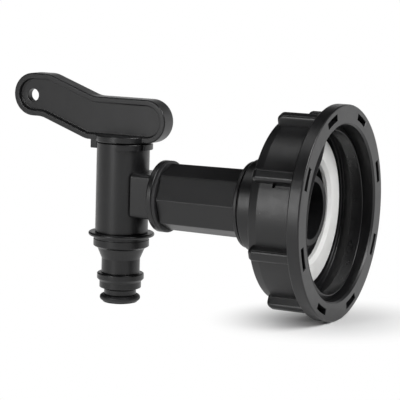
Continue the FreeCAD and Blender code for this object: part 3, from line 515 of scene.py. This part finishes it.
def threadTree(finish):
    # A helix round z with a buttress section, laid over to the x axis; its ends run out into the wall.
    tree = newTree("inner_thread")
    for name, value in (("Root", 0.03), ("Height", 0.0023), ("Length", 0.009), ("Turns", 1.5),
                        ("Crest", 0.003), ("Foot", 0.0045), ("Lean", 0.0), ("Soft", 0.0002),
                        ("Start", 0.0), ("Phase", 0.0), ("Run Out", 0.1)):
        treeInput(tree, name, "NodeSocketFloat", value)
    nodes = tree.nodes
    start, end = nodes.new("NodeGroupInput"), nodes.new("NodeGroupOutput")
    spiral = nodes.new("GeometryNodeCurveSpiral")
    spiral.inputs["Resolution"].default_value = 120
    upright = nodes.new("GeometryNodeSetCurveNormal")
    upright.mode = "Z_UP"
    section = nodes.new("GeometryNodeCurvePrimitiveQuadrilateral")
    section.mode = "TRAPEZOID"
    stand = nodes.new("GeometryNodeTransform")
    stand.inputs["Rotation"].default_value = (0, 0, pi / 2)
    soft = nodes.new("GeometryNodeFilletCurve")
    soft.mode = "POLY"
    soft.inputs["Count"].default_value = 4
    soft.inputs["Limit Radius"].default_value = True
    along = nodes.new("GeometryNodeSplineParameter")
    rise = nodes.new("ShaderNodeMapRange")
    rise.interpolation_type = "SMOOTHSTEP"
    fall = nodes.new("ShaderNodeMapRange")
    fall.interpolation_type = "SMOOTHSTEP"
    fall.inputs["From Max"].default_value = 1.0
    fall.inputs["To Min"].default_value = 1.0
    fall.inputs["To Max"].default_value = 0.02
    rise.inputs["To Min"].default_value = 0.02
    rest = nodes.new("ShaderNodeMath")
    rest.operation = "SUBTRACT"
    rest.inputs[0].default_value = 1.0
    swell = nodes.new("ShaderNodeMath")
    swell.operation = "MULTIPLY"
    body = nodes.new("GeometryNodeCurveToMesh")
    body.inputs["Fill Caps"].default_value = True
    lay = nodes.new("GeometryNodeTransform")
    lay.inputs["Rotation"].default_value = (0, pi / 2, 0)
    turn = nodes.new("ShaderNodeCombineXYZ")
    shift = nodes.new("ShaderNodeCombineXYZ")
    spin = nodes.new("GeometryNodeTransform")
    real = nodes.new("GeometryNodeRealizeInstances")
    paint = nodes.new("GeometryNodeSetMaterial")
    paint.inputs["Material"].default_value = finish
    linkTree(tree, [
        (start.outputs["Turns"], spiral.inputs["Rotations"]),
        (start.outputs["Root"], spiral.inputs["Start Radius"]),
        (start.outputs["Root"], spiral.inputs["End Radius"]),
        (start.outputs["Length"], spiral.inputs["Height"]),
        (spiral.outputs[0], upright.inputs[0]),
        (start.outputs["Foot"], section.inputs["Bottom Width"]),
        (start.outputs["Crest"], section.inputs["Top Width"]),
        (start.outputs["Lean"], section.inputs["Offset"]),
        (start.outputs["Height"], section.inputs["Height"]),
        (section.outputs[0], stand.inputs["Geometry"]),
        (stand.outputs[0], soft.inputs[0]),
        (start.outputs["Soft"], soft.inputs["Radius"]),
        (along.outputs["Factor"], rise.inputs["Value"]),
        (start.outputs["Run Out"], rise.inputs["From Max"]),
        (start.outputs["Run Out"], rest.inputs[1]),
        (rest.outputs[0], fall.inputs["From Min"]),
        (along.outputs["Factor"], fall.inputs["Value"]),
        (rise.outputs[0], swell.inputs[0]),
        (fall.outputs[0], swell.inputs[1]),
        (upright.outputs[0], body.inputs["Curve"]),
        (soft.outputs[0], body.inputs["Profile Curve"]),
        (swell.outputs[0], body.inputs["Scale"]),
        (body.outputs[0], lay.inputs["Geometry"]),
        (start.outputs["Phase"], turn.inputs["X"]),
        (start.outputs["Start"], shift.inputs["X"]),
        (lay.outputs[0], spin.inputs["Geometry"]),
        (turn.outputs[0], spin.inputs["Rotation"]),
        (shift.outputs[0], spin.inputs["Translation"]),
        (spin.outputs[0], real.inputs[0]),
        (real.outputs[0], paint.inputs[0]),
        (paint.outputs[0], end.inputs[0]),
    ])
    return tree


def grownMesh(name, tree, values, shape=None):
    # Runs a tree on a mesh and gives the plain mesh that comes out.
    mesh = bpy.data.meshes.new(name)
    if shape:
        cleaned(shape).to_mesh(mesh)
        shape.free()
    piece = bpy.data.objects.new(name, mesh)
    bpy.context.scene.collection.objects.link(piece)
    modifier = piece.modifiers.new("grow", "NODES")
    modifier.node_group = tree
    for item in tree.interface.items_tree:
        if item.name in values:
            modifier[item.identifier] = values[item.name]
    made = evaluatedMesh(piece)
    grown = bmesh.new()
    grown.from_mesh(made)
    bpy.data.objects.remove(piece)
    bpy.data.meshes.remove(made)
    return grown


def ribShape(sizes, front, rear):
    foot = sizes["skinRadius"] - sizes["ribSunk"]
    half = sizes["ribWidth"] / 2
    low = (rear + sizes["ribSetback"], -half, foot)
    high = (front, half, sizes["ribRadius"])
    shape = blockShape(low, high)
    nose = [edge for edge in shape.edges
            if all(abs(vert.co.x - mm(low[0])) < 1e-7 and vert.co.z > mm(sizes["skinRadius"])
                   for vert in edge.verts)]
    bmesh.ops.bevel(shape, geom=nose, offset=mm(sizes["ribNose"]), segments=9, profile=0.5, affect="EDGES")

    def outline(edge):
        spread = [face for face in edge.link_faces if abs(face.normal.y) > 0.9]
        atFoot = all(vert.co.z < mm(foot) + 1e-6 for vert in edge.verts)
        atFront = all(abs(vert.co.x - mm(front)) < 1e-6 for vert in edge.verts)
        return len(spread) == 1 and not atFoot and not atFront

    shape.normal_update()
    bmesh.ops.bevel(shape, geom=[edge for edge in shape.edges if outline(edge)],
                    offset=mm(sizes["ribRound"]), segments=7, profile=0.5, affect="EDGES")
    return shape


nutLow, nutHigh = nodeBox("coupling_nut")
mouth, rear, flangeRadius = nutHigh.x, nutLow.x, nutHigh.y
shell = nutShell(nutSizes, mouth, rear, flangeRadius)
ribs = grownMesh("grip_ribs", ringTree(satinPlastic),
                 {"Count": nutSizes["ribCount"], "Phase": radians(nutSizes["ribPhase"])},
                 ribShape(nutSizes, mouth - nutSizes["flangeThick"] + nutSizes["ribInFlange"], rear))
footWidth = nutSizes["crestWidth"] + nutSizes["steepRun"] + nutSizes["slopedRun"]
threadFoot = nutSizes["threadRoot"] + nutSizes["threadSunk"]
threadHeight = threadFoot - nutSizes["crestRadius"]
thread = grownMesh("inner_thread", threadTree(threadPlastic), {
    "Root": mm(threadFoot - threadHeight / 2), "Height": mm(threadHeight),
    "Length": mm(nutSizes["pitch"] * nutSizes["threadTurns"]), "Turns": nutSizes["threadTurns"],
    "Crest": mm(nutSizes["crestWidth"]), "Foot": mm(footWidth),
    "Lean": mm((nutSizes["slopedRun"] - nutSizes["steepRun"]) / 2),
    "Soft": mm(nutSizes["crestRound"]), "Start": mm(nutSizes["threadStart"]),
    "Phase": 2 * pi * ((nutSizes["threadStart"] - nutSizes["crestAtFarSide"]) / nutSizes["pitch"] + 0.25),
    "Run Out": nutSizes["runOut"]})
nut = newPiece("nut_moulding", joined(shell, ribs), [satinPlastic])
place(nut, "nut", "black_plastic", "coupling_nut")
nutThread = newPiece("nut_thread", thread, [threadPlastic])
place(nutThread, "nut", "black_plastic", "coupling_nut")
print("nut made:", len(nut.data.polygons), "faces, thread", len(nutThread.data.polygons))


# Gasket and hub.
gasketSizes = {"bevel": 1.2, "soft": 0.35, "bore": 18.3}
gasketLow, gasketHigh = nodeBox("tank_gasket")
gasketOuter = gasketHigh.y
gasketCorners = [
    (gasketHigh.x, gasketOuter, gasketSizes["soft"]),
    (gasketLow.x, gasketOuter, gasketSizes["soft"]),
    (gasketLow.x, gasketSizes["bore"], 0.1),
    (gasketHigh.x - gasketSizes["bevel"], gasketSizes["bore"], 0.3),
    (gasketHigh.x, gasketSizes["bore"] + gasketSizes["bevel"], 0.5),
]
gasketShape, _ = turnedMesh(roundedProfile(gasketCorners), "x", angles=evenAngles(160))
gasket = newPiece("gasket_ring", gasketShape, [whiteSeal])
place(gasket, "valve", "white_seal", "tank_gasket")

hubSizes = {"seatThick": 3.8, "drumRadius": 16.25, "boltBore": 12.15, "core": 14.4, "recess": 2.0,
            "threadLength": 8.5, "soft": 0.5}
hubLow, hubHigh = nodeBox("flange_hub")
hubCorners = [
    (hubHigh.x, hubHigh.y, 0.2),
    (hubHigh.x - hubSizes["seatThick"], hubHigh.y, 0.2),
    (hubHigh.x - hubSizes["seatThick"], hubSizes["drumRadius"], 0.2),
    (hubLow.x, hubSizes["drumRadius"], hubSizes["soft"]),
    (hubLow.x, hubSizes["boltBore"], 0.1),
    (hubLow.x + hubSizes["threadLength"], hubSizes["boltBore"], 0.1),
    (hubLow.x + hubSizes["threadLength"], hubSizes["core"], 0.2),
    (hubHigh.x - hubSizes["recess"], hubSizes["core"], 0.2),
    (hubHigh.x - hubSizes["recess"], gasketSizes["bore"], 0.2),
    (hubHigh.x, gasketSizes["bore"], 0.1),
]
hubShape, _ = turnedMesh(roundedProfile(hubCorners), "x", angles=evenAngles(144))
hub = newPiece("hub_turned", hubShape, [satinPlastic])
place(hub, "valve", "black_plastic", "flange_hub")


# Extension: a tube, a shoulder and an eight-sided pipe.
pipeSizes = {"bore": 9.9, "tubeRadius": 12.1, "shoulderWidth": 1.4, "shoulderRadius": 15.3, "soft": 0.45,
             "flatTank": 11.38, "flatTap": 11.15, "cornerSoft": 0.95, "socketRadius": 8.35,
             "socketDepth": 13.0, "washer": 0.7, "sides": 8, "endBevel": 0.25, "inShoulder": 0.05}
pipeLow, pipeHigh = nodeBox("extension_pipe")
shoulderFront = hubLow.x - pipeSizes["washer"]
shoulderBack = shoulderFront - pipeSizes["shoulderWidth"]
tubeCorners = [
    (pipeHigh.x, pipeSizes["bore"], 0.25),
    (pipeHigh.x, pipeSizes["tubeRadius"], 0.25),
    (shoulderFront, pipeSizes["tubeRadius"], 0.1),
    (shoulderFront, pipeSizes["shoulderRadius"], 0.2),
    (shoulderBack, pipeSizes["shoulderRadius"], pipeSizes["soft"]),
    (shoulderBack, pipeSizes["bore"], 0),
    (pipeLow.x + pipeSizes["socketDepth"], pipeSizes["bore"]),
]
tubeShape, _ = turnedMesh(roundedProfile(tubeCorners), "x")


def eightSidedShape(sizes, tapEnd, tankEnd):
    shape = bmesh.new()
    rings = []
    steps = 5  # points over each softened corner
    bevel = sizes["endBevel"]
    for station, flat, inset in ((tapEnd + bevel, sizes["flatTap"], 0), (tapEnd, sizes["flatTap"], bevel),
                                 (tapEnd, None, 0), (tankEnd, None, 0), (tankEnd, sizes["flatTank"], 0)):
        ring = []
        for side in range(sizes["sides"]):
            middle = 2 * pi * side / sizes["sides"]
            for step in range(steps):
                if flat is None:
                    spread = 2 * pi / sizes["sides"] * (step / steps - 0.5)
                    across, up = (cos(middle + spread), sin(middle + spread))
                    reach = sizes["socketRadius"] if station == tapEnd else sizes["bore"]
                    ring.append(shape.verts.new((mm(station), mm(reach * across), mm(reach * up))))
                    continue
                half = pi / sizes["sides"]
                soft = sizes["cornerSoft"]
                reach = (flat - inset - soft) / cos(half)
                lean = middle + half * (2 * step / (steps - 1) - 1)
                across = reach * cos(middle) + soft * cos(lean)
                up = reach * sin(middle) + soft * sin(lean)
                ring.append(shape.verts.new((mm(station), mm(across), mm(up))))
        rings.append(ring)
    order = [4, 0, 1, 2, 3]
    for here, there in zip(order, order[1:] + order[:1]):
        for index in range(len(rings[0])):
            after = (index + 1) % len(rings[0])
            shape.faces.new((rings[here][index], rings[here][after],
                             rings[there][after], rings[there][index]))
    return shape


octagon = eightSidedShape(pipeSizes, pipeLow.x, shoulderBack + pipeSizes["inShoulder"])
pipe = newPiece("extension_moulding", joined(tubeShape, octagon), [pipePlastic], sharp=28)
place(pipe, "valve", "black_plastic", "extension_pipe")
print("tank side made")


# Washers and rings.
def washerPiece(name, node, bore, axis, soft, finish, slot):
    low, high = nodeBox(node)
    outer = (high.y - low.y) / 2
    ends = (low.x, high.x) if axis == "x" else (low.z, high.z)
    centre = (0, 0) if axis == "x" else ((low.x + high.x) / 2, 0)
    corners = [(ends[0], bore, 0), (ends[1], bore, 0), (ends[1], outer, soft), (ends[0], outer, soft)]
    shape, _ = turnedMesh(roundedProfile(corners), axis, centre)
    return place(newPiece(name, shape, [finish]), "valve", slot, node)


washerPiece("hub_joint_washer", "joint_washer", 12.15, "x", 0.2, blackRubber, "black_rubber")
washerPiece("tail_joint_washer", "tail_washer", 8.35, "x", 0.3, blackRubber, "black_rubber")

ringLow, ringHigh = nodeBox("nozzle_o_ring")
plugX = (ringLow.x + ringHigh.x) / 2
ringSection = (ringHigh.z - ringLow.z) / 2
ringReach = (ringHigh.x - ringLow.x) / 2 - ringSection
ringProfile = [Vector((ringLow.z + ringSection + ringSection * sin(turn),
                       ringReach + ringSection * cos(turn)))
               for turn in evenAngles(28)]
ringShape, _ = turnedMesh(ringProfile, "z", (plugX, 0))
tipRing = newPiece("tip_o_ring", ringShape, [blackRubber])
place(tipRing, "valve", "black_rubber", "nozzle_o_ring")


# Tap body.
tapSizes = {
    "barrelRadius": 9.6, "barrelBore": 7.5, "topBore": 5.0, "webThick": 5.2, "footBore": 8.15,
    "footDepth": 4.8,
    "bossHalf": 8.0, "bossReach": 16.27, "bossSoft": 1.5, "bossStart": 0.1, "bossInDisc": 0.4,
    "discRadius": 12.9,
    "discThick": 2.3, "discSoft": 0.6, "tailRadius": 8.3, "flowBore": 4.2,
    "stopHeight": 2.25, "stopRadius": 10.9, "stopSoft": 0.25, "stopSunk": 1.3,
    "lugHalfAngle": degrees(atan2(2.0, 9.9)),
    "stopMargin": 1, "frontStop": 46, "sideStop": 38, "rearStop": 40,
}
tapLow, tapHigh = nodeBox("tap_body")


def sectorShape(inner, outer, low, high, middle, spread, soft):
    # A block that follows the barrel, between two radii and over an angle from +x, seen from above.
    steps = 14
    shape = bmesh.new()
    rings = []
    for step in range(steps + 1):
        angle = radians(middle + spread * (step / steps - 0.5))
        ring = []
        for reach, height in ((inner, low), (outer, low), (outer, high), (inner, high)):
            ring.append(shape.verts.new(
                (mm(plugX + reach * cos(angle)), mm(reach * sin(angle)), mm(height))))
        rings.append(ring)
    for here, there in zip(rings, rings[1:]):
        for side in range(4):
            after = (side + 1) % 4
            shape.faces.new((here[side], here[after], there[after], there[side]))
    shape.faces.new(rings[0])
    shape.faces.new(rings[-1][::-1])
    bmesh.ops.recalc_face_normals(shape, faces=shape.faces)
    edges = [edge for edge in shape.edges if edge.calc_face_angle(0) > 0.6]
    bmesh.ops.bevel(shape, geom=edges, offset=mm(soft), segments=3, profile=0.5, affect="EDGES")
    return shape


def tapShape(sizes, low, high):
    top, foot = high.z, low.z
    web = top - sizes["webThick"]
    barrel, _ = turnedMesh(roundedProfile([
        (foot, sizes["footBore"], 0.1), (foot, sizes["barrelRadius"], 0.2),
        (top, sizes["barrelRadius"], 0.3), (top, sizes["topBore"], 0.1),
        (web, sizes["topBore"]), (web, sizes["barrelBore"]),
        (foot + sizes["footDepth"], sizes["barrelBore"]), (foot + sizes["footDepth"], sizes["footBore"]),
    ]), "z", (plugX, 0), angles=evenAngles(160))
    discRear = plugX + sizes["bossReach"]
    discFront = discRear + sizes["discThick"]
    disc, _ = turnedMesh(roundedProfile([
        (discRear, sizes["flowBore"]), (discRear, sizes["discRadius"], sizes["discSoft"]),
        (discFront, sizes["discRadius"], sizes["discSoft"]), (discFront, sizes["tailRadius"], 0.1),
        (high.x, sizes["tailRadius"], 0.4), (high.x, sizes["flowBore"], 0.2),
    ]), "x")
    half = sizes["bossHalf"]
    boss = blockShape((plugX + sizes["barrelBore"] + sizes["bossStart"], -half, -half),
                      (discRear + sizes["bossInDisc"], half, half),
                      sizes["bossSoft"], 4,
                      lambda edge: abs(edge.verts[0].co.x - edge.verts[1].co.x) > 1e-6)
    shapes = [barrel, disc, boss]
    room = sizes["lugHalfAngle"] + sizes["stopMargin"]
    for middle, spread in ((270 + room + sizes["frontStop"] / 2, sizes["frontStop"]),
                           (0, sizes["sideStop"]),
                           (180 - room - sizes["rearStop"] / 2, sizes["rearStop"])):
        shapes.append(sectorShape(sizes["barrelRadius"] - sizes["stopSunk"], sizes["stopRadius"],
                                  top - sizes["stopHeight"], top, middle, spread, sizes["stopSoft"]))
    return joined(*shapes)


tap = newPiece("tap_moulding", tapShape(tapSizes, tapLow, tapHigh), [satinPlastic])
place(tap, "valve", "black_plastic", "tap_body")
print("tap body made")


# Hose tail; its steps are (height, radius, rounding).
nozzleSizes = {
    "threadRadius": 8.1, "bore": 3.6, "footRadius": 12.0, "footThick": 1.35, "footSoft": 0.6,
    "collarRadius": 10.15, "collarGroove": 0.28, "grooveAt": -16.8, "grooveWide": 0.5,
    "steps": ((-19.5, 10.15, 0.3), (-20.4, 8.6, 0.3), (-24.2, 7.0, 0.6), (-29.5, 7.0, 0.35),
              (-29.5, 8.55, 0.5), (-31.6, 8.55, 0.3), (-32.6, 7.6, 0.3), (-34.9, 7.6, 0.3),
              (-35.6, 5.85, 0.3), (-37.5, 5.85, 0.15), (-37.5, 5.1, 0.1), (-39.8, 5.1, 0.1),
              (-39.8, 6.3, 0.15), (-40.3, 6.3, 0.2)),
}
nozzleLow, nozzleHigh = nodeBox("hose_nozzle")
barrelFoot = tapLow.z
footUnder = barrelFoot - nozzleSizes["footThick"]
grooveTop = nozzleSizes["grooveAt"] + nozzleSizes["grooveWide"] / 2
grooveFoot = nozzleSizes["grooveAt"] - nozzleSizes["grooveWide"] / 2
collar = nozzleSizes["collarRadius"]
nozzleCorners = [
    (nozzleHigh.z, nozzleSizes["bore"]),
    (nozzleHigh.z, nozzleSizes["threadRadius"], 0.3),
    (barrelFoot, nozzleSizes["threadRadius"]),
    (barrelFoot, nozzleSizes["footRadius"], nozzleSizes["footSoft"]),
    (footUnder, nozzleSizes["footRadius"], nozzleSizes["footSoft"]),
    (footUnder, collar, 0.15),
    (grooveTop, collar, 0.1),
    (grooveTop, collar - nozzleSizes["collarGroove"], 0.08),
    (grooveFoot, collar - nozzleSizes["collarGroove"], 0.08),
    (grooveFoot, collar, 0.1),
] + [tuple(step) for step in nozzleSizes["steps"]] + [
    (nozzleLow.z, nozzleSizes["bore"], 0.2),
]
nozzleShape, _ = turnedMesh(roundedProfile(nozzleCorners), "z", (plugX, 0), angles=evenAngles(160))
nozzle = newPiece("hose_tail_turned", nozzleShape, [satinPlastic])
place(nozzle, "valve", "black_plastic", "hose_nozzle")
print("hose tail made")


# Lever; reaches are from the plug's axis, rises from the flow's axis.
leverSizes = {
    "half": 7.85, "thick": 7.0, "tipReach": 36.7, "tipRise": 33.4, "headReach": 10.5, "headRise": 26.45,
    "bendFar": 31.5, "bendNear": 12.5, "bendRound": 9.0, "rimRound": 0.5, "panelMargin": 2.05,
    "panelDepth": 1.9, "panelSoft": 0.3, "floorSoft": 0.55,
    "eyeReach": 37.6, "eyeRise": 33.0, "eyeRadius": 2.3, "eyeSoft": 0.3,
    "discRadius": 10.0, "discLow": 18.45, "discTop": 20.8, "discSoft": 0.35,
    "lugInner": 9.9, "lugThick": 2.8, "lugHalf": 2.0, "lugLow": 15.4, "lugSoft": 0.3,
    "driveHalf": 2.75, "driveSoft": 0.2, "driveInDisc": 0.5, "discCore": 1.0,
}


def leverOutline(sizes, half):
    # The blade's outline in x and z at one distance from its middle line, always with as many points.
    slope = atan2(sizes["tipRise"] - sizes["headRise"], sizes["bendFar"] - sizes["bendNear"])
    inset = sizes["half"] - half
    points = []

    def arc(centre, radius, start, end, steps):
        for step in range(steps + 1):
            angle = start + (end - start) * step / steps
            points.append(centre + radius * Vector((cos(angle), sin(angle))))

    def bend(x, z, edge, up, start, end):
        # edge 1 is the upper edge; up 1 has the bend's centre above it
        lean = Vector((sin(slope / 2), cos(slope / 2))) / cos(slope / 2)
        centre = Vector((x, z)) + lean * (sizes["half"] * edge + sizes["bendRound"] * up)
        arc(centre, sizes["bendRound"] + inset * edge * up, start, end, 8)

    tip = Vector((-sizes["tipReach"], sizes["tipRise"]))
    head = Vector((sizes["headReach"], sizes["headRise"]))
    arc(tip, half, pi / 2, 3 * pi / 2, 28)
    bend(-sizes["bendFar"], sizes["tipRise"], -1, -1, pi / 2, pi / 2 - slope)
    bend(-sizes["bendNear"], sizes["headRise"], -1, 1, -pi / 2 - slope, -pi / 2)
    arc(head, half, -pi / 2, pi / 2, 28)
    bend(-sizes["bendNear"], sizes["headRise"], 1, 1, -pi / 2, -pi / 2 - slope)
    bend(-sizes["bendFar"], sizes["tipRise"], 1, -1, pi / 2 - slope, pi / 2)
    return points


def leverBlade(sizes):
    side = sizes["thick"] / 2
    floor = side - sizes["panelDepth"]
    panel = sizes["half"] - sizes["panelMargin"]
    rim = roundedProfile([
        (0, floor), (panel, floor, sizes["floorSoft"]), (panel, side, sizes["panelSoft"]),
        (sizes["half"], side, sizes["rimRound"]), (sizes["half"], 0),
    ], closed=False, stepAngle=18)
    section = rim[1:-1] + [Vector((spot.x, -spot.y)) for spot in reversed(rim[1:-1])]
    shape = bmesh.new()
    loops = []
    for half, depth in section:
        loops.append([shape.verts.new((mm(plugX + spot.x), mm(depth), mm(spot.y)))
                      for spot in leverOutline(sizes, half)])
    for here, there in zip(loops, loops[1:]):
        for index in range(len(here)):
            after = (index + 1) % len(here)
            shape.faces.new((here[index], here[after], there[after], there[index]))
    soft = sizes["eyeSoft"]
    bore = sizes["eyeRadius"]
    eye = []
    for radius, depth in ((bore + soft, floor), (bore + soft * 0.3, floor - soft * 0.3),
                          (bore, floor - soft), (bore, soft - floor),
                          (bore + soft * 0.3, soft * 0.3 - floor), (bore + soft, -floor)):
        eye.append([shape.verts.new((mm(plugX - sizes["eyeReach"] + radius * cos(angle)), mm(depth),
                                     mm(sizes["eyeRise"] + radius * sin(angle))))
                    for angle in evenAngles(40)])
    for here, there in zip(eye, eye[1:]):
        for index in range(len(here)):
            after = (index + 1) % len(here)
            shape.faces.new((here[index], there[index], there[after], here[after]))
    for loop, hole in ((loops[0], eye[0]), (loops[-1], eye[-1])):
        edges = [shape.edges.get((ring[index], ring[(index + 1) % len(ring)]))
                 for ring in (loop, hole) for index in range(len(ring))]
        bmesh.ops.triangle_fill(shape, use_beauty=True, edges=edges)
    return shape


def leverShape(sizes):
    blade = leverBlade(sizes)
    disc, _ = turnedMesh(roundedProfile([
        (sizes["discLow"], sizes["discCore"]), (sizes["discLow"], sizes["discRadius"], sizes["discSoft"]),
        (sizes["discTop"], sizes["discRadius"], sizes["discSoft"]), (sizes["discTop"], sizes["discCore"]),
    ]), "z", (plugX, 0))
    lug = blockShape((plugX - sizes["lugInner"] - sizes["lugThick"], -sizes["lugHalf"], sizes["lugLow"]),
                     (plugX - sizes["lugInner"], sizes["lugHalf"], sizes["discTop"]), sizes["lugSoft"], 3)
    drive = blockShape((plugX - sizes["driveHalf"], -sizes["driveHalf"], sizes["driveLow"]),
                       (plugX + sizes["driveHalf"], sizes["driveHalf"],
                        sizes["discLow"] + sizes["driveInDisc"]),
                       sizes["driveSoft"], 2)
    return joined(blade, disc, lug, drive)


leverSizes["driveLow"] = nodeBox("lever_handle")[0].z
lever = newPiece("lever_moulding", leverShape(leverSizes), [satinPlastic])
place(lever, "lever", "black_plastic", "lever_handle")
print("lever made:", len(lever.data.polygons), "faces")


# Pieces inside the tap keep their own solids, with finishes of their own.
for node, finish in (("valve_plug", satinPlastic), ("upper_plug_o_ring", blackRubber),
                     ("lower_plug_o_ring", blackRubber), ("inlet_seat", blackRubber),
                     ("foot_washer", blackRubber), ("plug_screw", screwSteel)):
    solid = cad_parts[node]
    solid.data.materials.clear()
    solid.data.materials.append(finish)
print("inner pieces finished")


# Floor: a shadow shows only round the nut's foot.
floorLook = {"reach": 9.0, "white": 0.93, "shadowNear": 0.004, "shadowFar": 0.045,
             "grain": 14.0, "gap": 0.0001}
standsOn = [Vector((mm(mouth - nutSizes["flangeThick"] / 2), 0, nutLow.z / 1000)),
            Vector((mm(plugX), 0, nozzleLow.z / 1000))]


def floorMaterial(look):
    material, sheet = newMaterial("pale_floor")
    paths = sheet.add("ShaderNodeLightPath")
    seen = {name: Wire(sheet, paths.socket.node.outputs[name])
            for name in ("Is Camera Ray", "Is Glossy Ray", "Is Transmission Ray")}
    shown = sheet.maths("MAXIMUM", seen["Is Camera Ray"],
                        sheet.maths("MAXIMUM", seen["Is Glossy Ray"], seen["Is Transmission Ray"]))
    spot = sheet.add("ShaderNodeTexCoord", None, None, out="Object")
    grain = sheet.add("ShaderNodeTexNoise", None, {"Vector": spot, "Scale": look["grain"], "Detail": 2.0})
    away = sheet.add("ShaderNodeVectorMath", {"operation": "DISTANCE"},
                     {0: spot, 1: standsOn[0]}, out="Value")
    clear = sheet.between(away, look["shadowNear"], look["shadowFar"]) * shown
    matt = sheet.add("ShaderNodeBsdfDiffuse", None, {
        "Color": sheet.blendColour(grain, (look["white"],) * 3 + (1,), (look["white"] - 0.02,) * 3 + (1,))})
    glow = sheet.add("ShaderNodeEmission", None, {"Color": (1, 1, 1, 1), "Strength": 1.0})
    both = sheet.add("ShaderNodeMixShader", None, {0: clear, 1: matt, 2: glow})
    sheet.add("ShaderNodeOutputMaterial", None, {"Surface": both})
    return material


lean = (standsOn[0].z - standsOn[1].z) / (standsOn[0].x - standsOn[1].x)
floorMesh = bpy.data.meshes.new("floor")
reach = floorLook["reach"]
middle = (standsOn[0].x + standsOn[1].x) / 2
corners = []
for x, y in ((-reach, -reach), (reach, -reach), (reach, reach), (-reach, reach)):
    corners.append((middle + x, y, standsOn[0].z + lean * (middle + x - standsOn[0].x) - floorLook["gap"]))
floorMesh.from_pydata(corners, [], [(0, 1, 2, 3)])
floorMesh.materials.append(floorMaterial(floorLook))
floor = bpy.data.objects.new("floor", floorMesh)
bpy.context.scene.collection.objects.link(floor)

world = bpy.data.worlds.new("studio")
bpy.context.scene.world = world
world.use_nodes = True
studioLook = {"backdrop": 1.0, "front": 0.05, "overhead": 0.05, "fill": 0.8,
              "wallNear": 0.5, "wallFar": 0.95, "skyLow": 0.15, "skyHigh": 0.55}
sheet = NodeSheet(world.node_tree)
paths = sheet.add("ShaderNodeLightPath")
cameraRay = Wire(sheet, paths.socket.node.outputs["Is Camera Ray"])
glossy = Wire(sheet, paths.socket.node.outputs["Is Glossy Ray"])
way = sheet.add("ShaderNodeTexCoord", None, None, out="Generated")
height = sheet.add("ShaderNodeSeparateXYZ", None, {0: way}, out="Z")
depth = sheet.add("ShaderNodeSeparateXYZ", None, {0: way}, out="Y")
wall = sheet.between(depth, studioLook["wallNear"], studioLook["wallFar"],
                     studioLook["front"], studioLook["backdrop"])
dome = wall * sheet.between(height, studioLook["skyLow"], studioLook["skyHigh"],
                            1.0, studioLook["overhead"])
level = sheet.maths("MAXIMUM", cameraRay, dome * (glossy + (1 - glossy) * studioLook["fill"]))
back = sheet.add("ShaderNodeBackground", None, {"Color": (1, 1, 1, 1), "Strength": level})
sheet.add("ShaderNodeOutputWorld", None, {"Surface": back})

cameraSizes = {"azimuth": 26.392, "elevation": 7.964, "roll": 1.705, "distance": 641.03,
               "aimBehindMouth": 54.34, "aimHeight": -0.17, "lens": 162.44}


def wayTo(azimuth, elevation):  # from the object towards a place round it; azimuth 0 is the front (-y)
    a, e = radians(azimuth), radians(elevation)
    return Vector((sin(a) * cos(e), -cos(a) * cos(e), sin(e)))


aim = Vector((mm(mouth - cameraSizes["aimBehindMouth"]), 0, mm(cameraSizes["aimHeight"])))
eye = wayTo(cameraSizes["azimuth"], cameraSizes["elevation"])
cameraData = bpy.data.cameras.new("camera")
cameraData.lens = cameraSizes["lens"]
cameraData.sensor_width = 36
cameraData.clip_end = 60
camera = bpy.data.objects.new("camera", cameraData)
bpy.context.scene.collection.objects.link(camera)
side = Vector((cos(radians(cameraSizes["azimuth"])), sin(radians(cameraSizes["azimuth"])), 0))
top = eye.cross(side)
roll = radians(cameraSizes["roll"])
sideRolled = side * cos(roll) + top * sin(roll)
topRolled = top * cos(roll) - side * sin(roll)
turn = Matrix((sideRolled, topRolled, eye)).transposed().to_4x4()
camera.matrix_world = Matrix.Translation(aim + eye * mm(cameraSizes["distance"])) @ turn
bpy.context.scene.camera = camera

lampSizes = {  # azimuth, elevation, distance, width, height, watts
    "strip": (-18, 13, 0.9, 0.16, 0.42, 2.4),
    "right": (80, 42, 1.0, 0.5, 0.5, 9.0),
    "over": (-70, 70, 1.1, 0.4, 0.4, 1.0),
}
for name, (azimuth, elevation, distance, width, height, watts) in lampSizes.items():
    lamp = bpy.data.lights.new(name, "AREA")
    lamp.shape = "RECTANGLE"
    lamp.size, lamp.size_y = width, height
    lamp.energy = watts
    holder = bpy.data.objects.new(name, lamp)
    bpy.context.scene.collection.objects.link(holder)
    holder.location = aim + wayTo(azimuth, elevation) * distance
    holder.rotation_euler = (aim - holder.location).to_track_quat("-Z", "Y").to_euler()
bpy.context.scene.view_settings.view_transform = "Standard"
print("floor, light and camera set")
